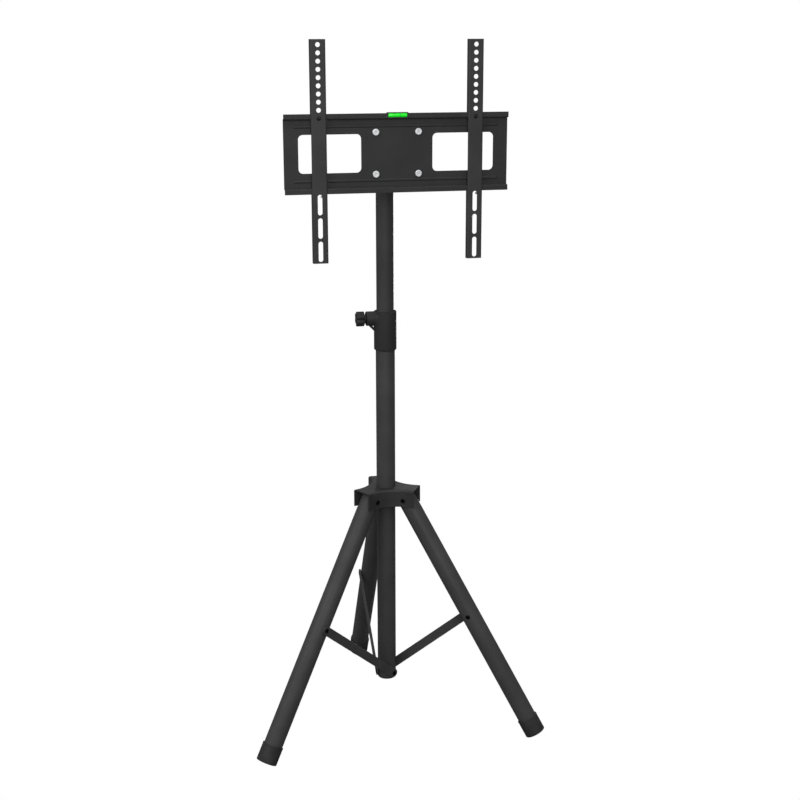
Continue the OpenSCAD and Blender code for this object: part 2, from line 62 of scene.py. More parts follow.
world = bpy.data.worlds.new("surround")
scene.world = world
world.use_nodes = True
nodes, links = world.node_tree.nodes, world.node_tree.links
surround = nodes["Background"]
surround.inputs["Color"].default_value = (1.0, 1.0, 1.0, 1.0)
direction, parts = nodes.new("ShaderNodeTexCoord"), nodes.new("ShaderNodeSeparateXYZ")
links.new(direction.outputs["Generated"], parts.inputs["Vector"])
rising = nodes.new("ShaderNodeMapRange")   # the light comes from overhead, not from the horizon
rising.inputs["From Max"].default_value = 0.8
rising.inputs["To Min"].default_value = 0.06
rising.inputs["To Max"].default_value = 0.55
links.new(parts.outputs["Z"], rising.inputs["Value"])
seen, glow = nodes.new("ShaderNodeLightPath"), nodes.new("ShaderNodeMapRange")
glow.inputs["To Max"].default_value = 1.0
links.new(seen.outputs["Is Camera Ray"], glow.inputs["Value"])
links.new(rising.outputs["Result"], glow.inputs["To Min"])
links.new(glow.outputs["Result"], surround.inputs["Strength"])


def soft_light(name, place, aim, size, watts):
    lamp = bpy.data.lights.new(name, "AREA")
    lamp.shape = "DISK"
    lamp.size = size
    lamp.energy = watts
    holder = bpy.data.objects.new(name, lamp)
    holder.location = place
    holder.rotation_euler = (Vector(aim) - Vector(place)).to_track_quat("-Z", "Y").to_euler()
    scene.collection.objects.link(holder)


middle = (0.0, 0.0, 0.75)
soft_light("key", (-3.3, -2.2, 2.5), middle, 2.2, 80)
soft_light("fill", (-0.4, -4.4, 2.2), middle, 2.2, 95)
soft_light("back", (1.6, 4.0, 0.35), middle, 1.4, 85)
sky = bpy.data.lights.new("overhead", "SUN")
sky.energy = 2.0
sky.angle = radians(75)
overhead = bpy.data.objects.new("overhead", sky)
overhead.rotation_euler = (radians(8), 0, 0)
scene.collection.objects.link(overhead)

floor_mesh = bpy.data.meshes.new("floor")
reach = 60.0
floor_mesh.from_pydata([(-reach, -reach, 0), (reach, -reach, 0), (reach, reach, 0), (-reach, reach, 0)],
                       [], [(0, 1, 2, 3)])
ground = bpy.data.objects.new("floor", floor_mesh)
scene.collection.objects.link(ground)
pale = bpy.data.materials.new("pale_floor")
pale.use_nodes = True
nodes, links = pale.node_tree.nodes, pale.node_tree.links
dull = nodes["Principled BSDF"]             # what the floor throws back on the stand
dull.inputs["Base Color"].default_value = (0.2, 0.2, 0.2, 1.0)
dull.inputs["Specular IOR Level"].default_value = 0.0
white = nodes.new("ShaderNodeEmission")
path, either = nodes.new("ShaderNodeLightPath"), nodes.new("ShaderNodeMixShader")
links.new(path.outputs["Is Camera Ray"], either.inputs["Fac"])
links.new(dull.outputs["BSDF"], either.inputs[1])
links.new(white.outputs["Emission"], either.inputs[2])
links.new(either.outputs["Shader"], nodes["Material Output"].inputs["Surface"])
floor_mesh.materials.append(pale)


# ---------------------------------------------------------------------------
# Camera: a long lens, low and to the left of the display's axis, looking down.
azimuth, elevation, tilt = radians(-12.5), radians(14.56), radians(-0.13)
backward = Vector((sin(azimuth) * cos(elevation), -cos(azimuth) * cos(elevation), sin(elevation)))
rightward = Vector((cos(azimuth), sin(azimuth), 0.0))
upward = backward.cross(rightward)
leaned_right = cos(tilt) * rightward + sin(tilt) * upward
leaned_up = cos(tilt) * upward - sin(tilt) * rightward
lens = bpy.data.cameras.new("camera")
lens.sensor_width = 36.0
lens.lens = 62.18
lens.clip_end = 200.0
camera = bpy.data.objects.new("camera", lens)
camera.matrix_world = Matrix((
    (leaned_right.x, leaned_up.x, backward.x, -0.5800),
    (leaned_right.y, leaned_up.y, backward.y, -2.8402),
    (leaned_right.z, leaned_up.z, backward.z, 1.4596),
    (0, 0, 0, 1)))
scene.collection.objects.link(camera)
scene.camera = camera


# ---------------------------------------------------------------------------
# Lower tube: 40 mm welded steel tube with a 1.5 mm wall, cut square, its ends
# deburred, powder-coated satin black.
low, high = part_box("lower_tube")
axis_x, axis_y = (low[0] + high[0]) / 2, (low[1] + high[1]) / 2
tube_low, tube_high = low[2], high[2]
column_r = (high[0] - low[0]) / 2
wall = 1.5 * mm
on_column = Matrix.Translation((axis_x, axis_y, 0))
LEG_TURN = {"left": 210, "right": 330, "rear": 90}
joint_at = {joint["child"]: joint["pos_m"] for joint in frame["joints"] if "pos_m" in joint}
brace_low_pin = joint_at["brace_rear"][2]
along_y = Matrix.Rotation(radians(-90), 4, "X")    # +Z of a turned shape to +Y
along_x = Matrix.Rotation(radians(90), 4, "Y")     # +Z of a turned shape to +X
to_column_pin = Matrix.Translation((0, 0, brace_low_pin)) @ along_y


def eased(corners, steps=5):
    """A closed outline's corners (x, y, radius), each rounded by its radius."""
    outline = []
    for i, (x, y, r) in enumerate(corners):
        here = Vector((x, y))
        if not r:
            outline.append((x, y))
            continue
        back = (Vector(corners[i - 1][:2]) - here).normalized()
        ahead = (Vector(corners[(i + 1) % len(corners)][:2]) - here).normalized()
        half = back.angle(ahead) / 2
        centre = here + (back + ahead).normalized() * (r / sin(half))
        first = here + back * (r / tan(half)) - centre
        last = here + ahead * (r / tan(half)) - centre
        start = atan2(first.y, first.x)
        sweep = (atan2(last.y, last.x) - start + pi) % (2 * pi) - pi
        for k in range(steps + 1):
            angle = start + sweep * k / steps
            outline.append((centre.x + r * cos(angle), centre.y + r * sin(angle)))
    return outline


def skinned(shape, rings):
    """Faces between each ring of corners and the next; a ring of one corner is a centre."""
    around = max(len(ring) for ring in rings)
    for one, two in zip(rings, rings[1:]):
        if len(one) == len(two) == 1:
            continue
        for i in range(around):
            j = (i + 1) % around
            face = [one[i % len(one)], one[j % len(one)], two[j % len(two)], two[i % len(two)]]
            shape.faces.new(list(dict.fromkeys(face)))
    bmesh.ops.recalc_face_normals(shape, faces=shape.faces)
    return shape


def turned(outline, place=Matrix.Identity(4), steps=96):
    """A closed outline of (radius, height) turned round Z."""
    shape = bmesh.new()
    rings = []
    for r, z in outline:
        angles = [0.0] if r < 1e-9 else [2 * pi * i / steps for i in range(steps)]
        rings.append([shape.verts.new(place @ Vector((r * cos(a), r * sin(a), z))) for a in angles])
    return skinned(shape, rings + rings[:1])


def pipe(r, r_in, low_z, high_z, ease=0.35 * mm, place=Matrix.Identity(4), steps=96):
    return turned(eased([(r_in, low_z, ease), (r, low_z, ease), (r, high_z, ease), (r_in, high_z, ease)], 3),
                  place, steps)


def rod(r, low_z, high_z, place=Matrix.Identity(4), steps=40):
    return turned([(0, low_z), (r, low_z), (r, high_z), (0, high_z)], place, steps)


def toward(turn):
    return on_column @ Matrix.Rotation(radians(turn), 4, "Z")


def piece_of(name, *shapes):
    """One object from one or more shapes."""
    mesh = bpy.data.meshes.new(name)
    whole = bmesh.new()
    for shape in shapes:
        part = bpy.data.meshes.new("part")
        shape.to_mesh(part)
        shape.free()
        whole.from_mesh(part)
        bpy.data.meshes.remove(part)
    whole.to_mesh(mesh)
    whole.free()
    piece = bpy.data.objects.new(name, mesh)
    scene.collection.objects.link(piece)
    return piece


def settled(piece):
    """Turns the piece's modifiers into plain mesh."""
    graph = bpy.context.evaluated_depsgraph_get()
    mesh = bpy.data.meshes.new_from_object(piece.evaluated_get(graph), depsgraph=graph)
    piece.modifiers.clear()
    worn_out = piece.data
    piece.data = mesh
    bpy.data.meshes.remove(worn_out)
    mesh.name = piece.name
    return piece


def cut(piece, *tools):
    """Cuts shapes or objects out of the piece and takes the objects away."""
    tools = [piece_of("tool", tool) if isinstance(tool, bmesh.types.BMesh) else tool for tool in tools]
    for tool in tools:
        knife = piece.modifiers.new("cut", "BOOLEAN")
        knife.operation = "DIFFERENCE"
        knife.solver = "EXACT"
        knife.object = tool
    settled(piece)
    for tool in tools:
        bpy.data.objects.remove(tool)
    return piece


def smooth(piece, angle=32):
    piece.data.shade_smooth()
    piece.data.set_sharp_from_angle(angle=radians(angle))
    return piece


def surface(name, colour, rough=(0.44, 0.54), grain=0.7 * mm, relief=0.1, spread=0.1, patch=60 * mm,
            wear_and_highlight=0.0, **sockets):
    """A finish: a faint patchiness of colour, a fine grain in relief, uneven gloss, paler edges that are partly
    wear of the thin coat and partly a painted highlight, and painted shade that darkens the colour where it turns
    away from the eye."""
    material = bpy.data.materials.new(name)
    material.use_nodes = True
    nodes, links = material.node_tree.nodes, material.node_tree.links
    shader = nodes["Principled BSDF"]
    spot = nodes.new("ShaderNodeTexCoord")

    def noise(size, detail):
        node = nodes.new("ShaderNodeTexNoise")
        node.inputs["Scale"].default_value = 1 / size
        node.inputs["Detail"].default_value = detail
        links.new(spot.outputs["Object"], node.inputs["Vector"])
        return node.outputs["Fac"]

    tone = nodes.new("ShaderNodeValToRGB")
    tone.color_ramp.elements[0].position = 0.35
    tone.color_ramp.elements[1].position = 0.65
    for end, change in ((0, 1 - spread), (1, 1 + spread)):
        tone.color_ramp.elements[end].color = (*(min(1.0, part * change) for part in colour), 1.0)
    links.new(noise(patch, 5.0), tone.inputs["Fac"])
    base = tone.outputs["Color"]
    # Paler edges: partly wear where the coat is thin, partly a painted highlight where bends catch the light.
    if wear_and_highlight:
        edge = nodes.new("ShaderNodeBevel")
        edge.samples = 4
        edge.inputs["Radius"].default_value = 0.5 * mm
        plain = nodes.new("ShaderNodeNewGeometry")
        match = nodes.new("ShaderNodeVectorMath")
        match.operation = "DOT_PRODUCT"
        links.new(edge.outputs["Normal"], match.inputs[0])
        links.new(plain.outputs["Normal"], match.inputs[1])
        rub_and_highlight = nodes.new("ShaderNodeMapRange")
        rub_and_highlight.inputs["From Min"].default_value = 0.985
        rub_and_highlight.inputs["From Max"].default_value = 0.85
        rub_and_highlight.inputs["To Max"].default_value = wear_and_highlight
        links.new(match.outputs["Value"], rub_and_highlight.inputs["Value"])
        blend = nodes.new("ShaderNodeMixRGB")
        blend.inputs["Color2"].default_value = (*(min(1.0, part * 3 + 0.02) for part in colour), 1.0)
        links.new(rub_and_highlight.outputs["Result"], blend.inputs["Fac"])
        links.new(base, blend.inputs["Color1"])
        base = blend.outputs["Color"]
    # Painted shade: the base colour is darkened towards black at grazing angles, standing in for the dark rim the
    # light leaves at the silhouette.
    facing, silhouette_shade = nodes.new("ShaderNodeLayerWeight"), nodes.new("ShaderNodeMapRange")
    shade = nodes.new("ShaderNodeMixRGB")
    silhouette_shade.inputs["From Min"].default_value = 0.66
    silhouette_shade.inputs["From Max"].default_value = 0.95
    silhouette_shade.inputs["To Max"].default_value = 0.75
    links.new(facing.outputs["Facing"], silhouette_shade.inputs["Value"])
    shade.inputs["Color2"].default_value = (0.0, 0.0, 0.0, 1.0)
    links.new(silhouette_shade.outputs["Result"], shade.inputs["Fac"])
    links.new(base, shade.inputs["Color1"])
    links.new(shade.outputs["Color"], shader.inputs["Base Color"])
    gloss = nodes.new("ShaderNodeMapRange")
    gloss.inputs["From Min"].default_value = 0.3
    gloss.inputs["From Max"].default_value = 0.7
    gloss.inputs["To Min"].default_value, gloss.inputs["To Max"].default_value = rough
    links.new(noise(patch / 4, 3.0), gloss.inputs["Value"])
    links.new(gloss.outputs["Result"], shader.inputs["Roughness"])
    bump = nodes.new("ShaderNodeBump")
    bump.inputs["Strength"].default_value = relief
    bump.inputs["Distance"].default_value = grain / 4
    links.new(noise(grain, 2.0), bump.inputs["Height"])
    links.new(bump.outputs["Normal"], shader.inputs["Normal"])
    for socket, value in sockets.items():
        shader.inputs[socket.replace("_", " ")].default_value = value
    return material


def fitted(piece, finish, body, slot, *nodes):
    """Gives the piece its finish, hangs it on its body and lets it stand for its CAD nodes."""
    if not piece.data.materials:
        piece.data.materials.append(finish)
    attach(piece, body)
    if nodes:
        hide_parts(*nodes)
    return piece


tube_coat = surface("satin_tube_coat", (0.0345, 0.0345, 0.0356), Specular_IOR_Level=0.12)
rivet_hole = 4.06 * mm
column_tube = piece_of("column_tube", pipe(column_r, column_r - wall, tube_low, tube_high, place=on_column))
cut(column_tube, *(rod(rivet_hole, column_r - 6 * mm, column_r + 2 * mm, toward(turn) @ to_column_pin)
                   for turn in LEG_TURN.values()))
fitted(smooth(column_tube), tube_coat, "base", "tube_black", "lower_tube")


# ---------------------------------------------------------------------------
# Column end plug: moulded rubber, a rounded flange as wide as the lower tube and
# a spigot inside it.
low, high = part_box("column_end_cap")
rubber = surface("fine_black_rubber", (0.022, 0.022, 0.022), (0.62, 0.78), 0.5 * mm, 0.2, 0.16, 25 * mm,
                 Specular_IOR_Level=0.1)


plug = turned(eased([(0, low[2], 0), (column_r, low[2], 3 * mm), (column_r, tube_low, 0.3 * mm),
                     (column_r - wall, tube_low, 0), (column_r - wall, high[2], 0.5 * mm),
                     (0, high[2], 0)]), on_column)
fitted(smooth(piece_of("column_plug", plug)), rubber, "base", "cap_rubber", "column_end_cap")


# ---------------------------------------------------------------------------
# Clamp collar: a moulded plastic sleeve round the top of the lower tube. Its
# boss points sideways, blends into the sleeve and is stayed by a slanted rib.
low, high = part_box("collar")
collar_low, collar_top = low[2], high[2]
collar_r = high[0] - axis_x
boss_end = low[0] - axis_x
boss_r = 15 * mm
boss_z = collar_top - boss_r
mast_low, mast_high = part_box("mast")
mast_r = (mast_high[0] - mast_low[0]) / 2
plastic = surface("fine_matte_plastic", (0.019, 0.019, 0.0195), (0.5, 0.62), 0.35 * mm, 0.22, 0.08, 40 * mm,
                  Specular_IOR_Level=0.12)

over_tube, over_mast, step_z = column_r + 0.05 * mm, mast_r + 0.2 * mm, tube_high + 0.1 * mm
sleeve = turned(eased([(over_tube, collar_low, 0.3 * mm), (collar_r, collar_low, 3 * mm),
                       (collar_r, collar_top, 1.2 * mm), (over_mast, collar_top, 0.5 * mm),
                       (over_mast, step_z, 0), (over_tube, step_z, 0)]), on_column, 128)


def sideways_boss():
    """The boss as rings along -X: a flare that meets the sleeve, a straight barrel, a rounded rim, a hole."""
    shape = bmesh.new()
    around = 72
    flare = 5 * mm
    hole_r = 4.6 * mm
    rings = []
    rows = [("flare", k / 6) for k in range(7)]
    rim = 1.2 * mm
    rows += [("barrel", (boss_end + rim * (1 - sin(radians(22.5 * k))), rim * (1 - cos(radians(22.5 * k)))))
             for k in range(5)]
    rows += [("face", hole_r + 0.4 * mm), ("face", hole_r), ("hole", hole_r)]
    for kind, value in rows:
        ring = []
        for i in range(around):
            turn = 2 * pi * i / around
            # the flare fades out where the boss is flush with the sleeve's top
            room = min(1.0, max(0.0, (0.80 - cos(turn)) / 0.5))
            if kind == "flare":
                bend = value * pi / 2
                spread = flare * room * (1 - sin(bend))
                r = boss_r + spread
                y, z = r * sin(turn), r * cos(turn)
                x = -sqrt(collar_r ** 2 - min(abs(y), collar_r * 0.98) ** 2) + 0.15 * mm
                x -= flare * room * (1 - cos(bend))
            elif kind == "barrel":
                r = boss_r - value[1]
                x, y, z = value[0], r * sin(turn), r * cos(turn)
            else:
                x = boss_end + (0.5 * mm if kind == "hole" else 0)
                y, z = value * sin(turn), value * cos(turn)
            ring.append(shape.verts.new(on_column @ Vector((x, y, boss_z + min(z, boss_r - 0.02 * mm)))))
        rings.append(ring)
    shape.faces.new(rings[-1])
    shape.faces.new(reversed(rings[0]))
    return skinned(shape, rings)


def drawn(outline, low_z, high_z, place=Matrix.Identity(4)):
    """A closed (x, y) outline drawn out along Z."""
    shape = bmesh.new()
    ends = [[shape.verts.new(place @ Vector((x, y, z))) for x, y in outline] for z in (low_z, high_z)]
    shape.faces.new(ends[0])
    shape.faces.new(ends[1])
    return skinned(shape, ends)


rib_place = (on_column @ Matrix.Translation((boss_end + 6 * mm, 0, boss_z - boss_r + 1.5 * mm))
             @ Matrix.Rotation(radians(46), 4, "Y") @ Matrix.Rotation(radians(-90), 4, "Y"))
rib = drawn(eased([(x * mm, y * mm, 0.8 * mm) for x, y in ((-1.5, -2.5), (4, -2.5), (4, 2.5), (-1.5, 2.5))]),
            -20 * mm, 0, rib_place)
fitted(smooth(piece_of("clamp_collar", sleeve, sideways_boss(), rib), 40), plastic, "base", "collar_plastic",
       "collar")


# ---------------------------------------------------------------------------
# Clamp knob and the three lock knobs: moulded black plastic with six lobes, a
# narrow neck, rounded rims and a shallow round recess in the face.
def lobed_knob(size, length, bore_r, place):
    """A six-lobed hand knob along +Z from its neck to its face."""
    shape = bmesh.new()
    around = 120
    neck_r, neck = size * 0.29, length / 6
    rim = 1.6 * mm
    rows = [(bore_r, 0.0, length / 2), (bore_r, 0.0, 0.0)]             # the bore that takes the stud
    rows += [(neck_r, 0.0, 0.0), (neck_r, 0.0, neck - 0.6 * mm), (neck_r + 0.6 * mm, 0.0, neck)]
    rows += [(size / 2 - rim * (1 - sin(radians(30 * k))), 1.0, neck + rim * (1 - cos(radians(30 * k))))
             for k in (0, 1, 2, 3)]
    rows += [(size / 2 - rim * (1 - cos(radians(30 * k))), 1.0, length - rim * (1 - sin(radians(30 * k))))
             for k in (0, 1, 2, 3)]
    rows += [(size * 0.30, 0.0, length), (size * 0.27, 0.0, length - 1.0 * mm), (0.0, 0.0, length - 1.2 * mm)]
    rings = []
    for r, lobing, z in rows:
        if r == 0:
            rings.append([shape.verts.new(place @ Vector((0, 0, z)))])
            continue
        ring = []
        for i in range(around):
            turn = 2 * pi * i / around
            dip = 0.095 * size * lobing * (0.5 - 0.5 * cos(6 * turn)) ** 1.6
            ring.append(shape.verts.new(place @ Vector(((r - dip) * cos(turn), (r - dip) * sin(turn), z))))
        rings.append(ring)
    shape.faces.new(rings[0])
    return skinned(shape, rings)


knob_plastic = surface("knob_plastic", (0.010, 0.010, 0.0103), (0.42, 0.55), 0.4 * mm, 0.18, 0.08, 30 * mm,
                       Specular_IOR_Level=0.2)
along_minus_x = Matrix.Rotation(radians(-90), 4, "Y")
low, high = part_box("collar_knob")
fitted(smooth(piece_of("clamp_knob", lobed_knob(31 * mm, high[0] - low[0], 4.05 * mm,
                                                on_column @ Matrix.Translation((high[0] - axis_x, 0, boss_z))
                                                @ along_minus_x))),
       knob_plastic, "clamp_knob", "knob_plastic", "collar_knob")


# ---------------------------------------------------------------------------
# Hub: three-armed bracket pressed from 2.5 mm steel sheet. Its hollow edges are
# bent down as flanges over a 4 mm radius; the arm ends stay open for the legs.
low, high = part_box("hub_bracket")
hub_top, hub_low = high[2], low[2]
hub_t = 2.5 * mm
arm_end = high[1] - axis_y
leg_r = 20 * mm
arm_half = leg_r + 0.8 * mm + hub_t
waist = 38 * mm
hollow_r = (arm_half - waist * sin(radians(60))) / (sin(radians(60)) - 1)
hollow_at = waist + hollow_r
# Its paler edges are partly wear and partly a painted highlight on the hub's and plate's bends.
sheet_coat = surface("satin_sheet_coat", (0.0205, 0.0205, 0.0212), (0.42, 0.54), 0.7 * mm, 0.1, 0.1, 50 * mm,
                     wear_and_highlight=0.25, Specular_IOR_Level=0.16)


def broken_edges(piece, width, segments=2, angle=30):
    """Breaks the piece's sharp edges with a small radius and keeps its flats flat to the eye."""
    tidy = bmesh.new()
    tidy.from_mesh(piece.data)
    bmesh.ops.remove_doubles(tidy, verts=tidy.verts, dist=0.01 * mm)
    bmesh.ops.dissolve_limit(tidy, angle_limit=radians(0.5), verts=tidy.verts, edges=tidy.edges)
    tidy.to_mesh(piece.data)
    tidy.free()
    bevel = piece.modifiers.new("edges", "BEVEL")
    bevel.width = width
    bevel.segments = segments
    bevel.limit_method = "ANGLE"
    bevel.angle_limit = radians(angle)
    settled(piece)
    smooth(piece, 50)
    weigh = piece.modifiers.new("flats", "WEIGHTED_NORMAL")
    weigh.keep_sharp = True
    return settled(piece)


def pressed_hub():
    """The outer skin: the top plate and three bent flanges, open at the arm ends."""
    shape = bmesh.new()
    bend_r = 4 * mm
    along = 32
    rows = [(bend_r * (1 - sin(radians(18 * k))), hub_top - bend_r * (1 - cos(radians(18 * k))))
            for k in range(6)]
    rows.append((0.0, hub_low))
    arms = []
    for turn in (30, 150, 270):
        centre = Vector((cos(radians(turn)), sin(radians(turn)), 0)) * hollow_at
        strip = []
        for inset, z in rows:
            r = hollow_r + inset
            half = radians(30) + asin((arm_end - hollow_at * cos(radians(60))) / r)
            line = []
            for i in range(along + 1):
                angle = radians(turn) + pi - half + 2 * half * i / along
                line.append(shape.verts.new(centre + Vector((r * cos(angle), r * sin(angle), z))))
            strip.append(line)
        for one, two in zip(strip, strip[1:]):
            for i in range(along):
                shape.faces.new((one[i], one[i + 1], two[i + 1], two[i]))
        arms.append(strip[0])
    edge = [corner for line in arms for corner in reversed(line)]
    shape.faces.new(edge)
    bmesh.ops.recalc_face_normals(shape, faces=shape.faces)
    top = max(shape.faces, key=lambda face: face.calc_area())
    if top.normal.z < 0:
        bmesh.ops.reverse_faces(shape, faces=shape.faces)
    return shape


hub = piece_of("pressed_hub", pressed_hub())
thicken = hub.modifiers.new("sheet", "SOLIDIFY")
thicken.thickness = hub_t
thicken.offset = -1
settled(hub)
pivot_r, pivot_z = joint_at["leg_rear"][1] - axis_y, joint_at["leg_rear"][2]
to_pivot = Matrix.Translation((pivot_r, 0, pivot_z)) @ along_y
cut(hub, rod(column_r + 0.1 * mm, hub_low, hub_top + 9 * mm, steps=96),
    *(rod(rivet_hole, -arm_half - 16 * mm, arm_half + 16 * mm,
          Matrix.Rotation(radians(turn), 4, "Z") @ to_pivot) for turn in LEG_TURN.values()))
broken_edges(hub, 0.35 * mm)
hub.data.transform(on_column)
fitted(hub, sheet_coat, "hub", "sheet_black", "hub_bracket")

low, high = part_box("hub_sleeve")
fitted(smooth(piece_of("hub_guide_tube", pipe((high[0] - low[0]) / 2, column_r + 0.1 * mm, low[2], high[2],
                                              place=on_column))),
       sheet_coat, "hub", "sheet_black", "hub_sleeve")


# ---------------------------------------------------------------------------
# Rivets: drawn steel, black oxide. Each has a rolled, domed head round a bore closed by a near-black floor,
# painted shade standing in for the open bore. Those of the hub and of the column stand in threes round the axis.
# Near black: the rivets' own black oxide, and on the floor that closes each bore, painted shade for the open bore.
oxide_black_and_bore_shade = surface("black_oxide_rivet", (0.0025, 0.0025, 0.0025), (0.42, 0.55), 0.3 * mm, 0.12, 0.15, 8 * mm,
                      Specular_IOR_Level=0.1)


def hollow_rivet(low_z, high_z, place, low_head=True, high_head=True, bulge=1.0 * mm):
    """A rivet along Z with rolled heads outside low_z and high_z, each head with a bore closed by a floor whose
    near-black colour is painted shade for the open bore.
    """
    r, bore, head = 4 * mm, 3.4 * mm, 5 * mm
    deep = min(5 * mm, high_z + bulge - low_z - 1 * mm)
    corners = [(0, low_z + (deep - bulge if low_head else 0), 0)]
    if low_head:
        corners += [(bore, low_z + deep - bulge, 0), (bore, low_z - bulge, 0.3 * mm),
                    (head, low_z - bulge, 0.7 * mm), (head, low_z, 0.15 * mm), (r, low_z, 0)]
    else:
        corners += [(r, low_z, 0.2 * mm)]
    if high_head:
        corners += [(r, high_z, 0), (head, high_z, 0.15 * mm), (head, high_z + bulge, 0.7 * mm),
                    (bore, high_z + bulge, 0.3 * mm), (bore, high_z + bulge - deep, 0),
                    (0, high_z + bulge - deep, 0)]
    else:
        corners += [(r, high_z, 0.2 * mm), (0, high_z, 0)]
    return turned(eased(corners, 4), place, 40)


def repeater(name, *inputs):
    """A Geometry Nodes tree that sets a piece on points and leaves it real and coated."""
    tree = bpy.data.node_groups.new(name, "GeometryNodeTree")
    for label, kind in (("Geometry", "Geometry"), *inputs, ("Finish", "Material")):
        tree.interface.new_socket(label, in_out="INPUT", socket_type=f"NodeSocket{kind}")
    tree.interface.new_socket("Geometry", in_out="OUTPUT", socket_type="NodeSocketGeometry")
    nodes, links = tree.nodes, tree.links
    given, made = nodes.new("NodeGroupInput"), nodes.new("NodeGroupOutput")
    points, place = nodes.new("GeometryNodePoints"), nodes.new("GeometryNodeInstanceOnPoints")
    real, coat = nodes.new("GeometryNodeRealizeInstances"), nodes.new("GeometryNodeSetMaterial")
    links.new(points.outputs[0], place.inputs["Points"])
    links.new(given.outputs["Geometry"], place.inputs["Instance"])
    links.new(place.outputs[0], real.inputs[0])
    links.new(real.outputs[0], coat.inputs["Geometry"])
    links.new(given.outputs["Finish"], coat.inputs["Material"])
    links.new(coat.outputs[0], made.inputs[0])
    return tree, given.outputs, points, place


def reckoned(tree, operation, *values):
    """The output of a Math node fed with numbers or other outputs."""
    node = tree.nodes.new("ShaderNodeMath")
    node.operation = operation
    for socket, value in zip(node.inputs, values):
        if isinstance(value, (int, float)):
            socket.default_value = value
        else:
            tree.links.new(value, socket)
    return node.outputs[0]


def round_axis_tree():
    """Repeats a piece round Z, with a first angle and a finish."""
    tree, given, points, place = repeater("set_round_axis", ("Count", "Int"), ("First Angle", "Float"))
    tree.links.new(given["Count"], points.inputs["Count"])
    index = tree.nodes.new("GeometryNodeInputIndex").outputs[0]
    share = reckoned(tree, "MULTIPLY", index, reckoned(tree, "DIVIDE", 2 * pi, given["Count"]))
    turn = tree.nodes.new("ShaderNodeCombineXYZ")
    tree.links.new(reckoned(tree, "ADD", share, given["First Angle"]), turn.inputs["Z"])
    tree.links.new(turn.outputs[0], place.inputs["Rotation"])
    return tree


def repeated(piece, tree, **settings):
    """Runs the tree on the piece and keeps the result as plain mesh."""
    maker = piece.modifiers.new("repeat", "NODES")
    maker.node_group = tree
    for item in tree.interface.items_tree:
        if item.in_out == "INPUT" and item.name.replace(" ", "_") in settings:
            maker[item.identifier] = settings[item.name.replace(" ", "_")]
    return settled(piece)


round_axis = round_axis_tree()
head_at = 24.8 * mm
hub_rivets = smooth(piece_of("hub_pivot_rivets", hollow_rivet(-head_at, head_at, to_pivot)))
repeated(hub_rivets, round_axis, Count=3, First_Angle=pi / 2, Finish=oxide_black_and_bore_shade)
hub_rivets.data.transform(on_column)
fitted(hub_rivets, oxide_black_and_bore_shade, "hub", "rivet_black", "hub_rivets")

brace_face, brace_t = leg_r + 1 * mm, 3 * mm
column_rivets = smooth(piece_of(
    "column_brace_rivets",
    hollow_rivet(column_r - 4.5 * mm, brace_face + brace_t + 0.05 * mm, to_column_pin, low_head=False),
    pipe(5 * mm, 3.9 * mm, column_r - 4.9 * mm, column_r - 2.5 * mm, 0.3 * mm, to_column_pin, 40),
    pipe(5 * mm, 3.9 * mm, column_r + 0.05 * mm, brace_face - 0.05 * mm, 0.2 * mm, to_column_pin, 40)))
repeated(column_rivets, round_axis, Count=3, First_Angle=pi / 2, Finish=oxide_black_and_bore_shade)
column_rivets.data.transform(on_column)
fitted(column_rivets, oxide_black_and_bore_shade, "base", "rivet_black", "column_rivets")


# ---------------------------------------------------------------------------
# Hub washers: six natural nylon discs that keep the legs off the flanges.
nylon = surface("natural_nylon", (0.62, 0.60, 0.54), (0.4, 0.5), 0.5 * mm, 0.08, 0.05, 20 * mm,
                Subsurface_Weight=0.15, Subsurface_Scale=0.002)
washer_at, washer_half = leg_r + 0.4 * mm, 0.35 * mm
washers = smooth(piece_of("leg_washers", *(
    pipe(7 * mm, rivet_hole, side * washer_at - washer_half, side * washer_at + washer_half, 0.12 * mm,
         to_pivot, 40) for side in (-1, 1))))
repeated(washers, round_axis, Count=3, First_Angle=pi / 2, Finish=nylon)
washers.data.transform(on_column)
fitted(washers, nylon, "hub", "nylon", "hub_washers")


# ---------------------------------------------------------------------------
# Legs: 40 mm tube, each with a rubber foot cap on its end and a hollow rivet
# where its brace is pinned. The foot stands on the edge of its flat end.
leg_lean = 30
leg_reach = 584 * mm
brace_at = 287.4 * mm
foot_len = 38 * mm


def cup(r, r_in, height, floor_t, edge, place):
    """A turned cap, closed end at the bottom, with a slightly proud lip at its mouth."""
    lip = 0.35 * mm
    return turned(eased([(0, 0, 0), (r, 0, edge), (r, height - 3 * mm, lip), (r + lip, height - 2.4 * mm, lip),
                         (r + lip, height, 0.5 * mm), (r_in, height, 0.3 * mm), (r_in, floor_t, 0),
                         (0, floor_t, 0)]), place)


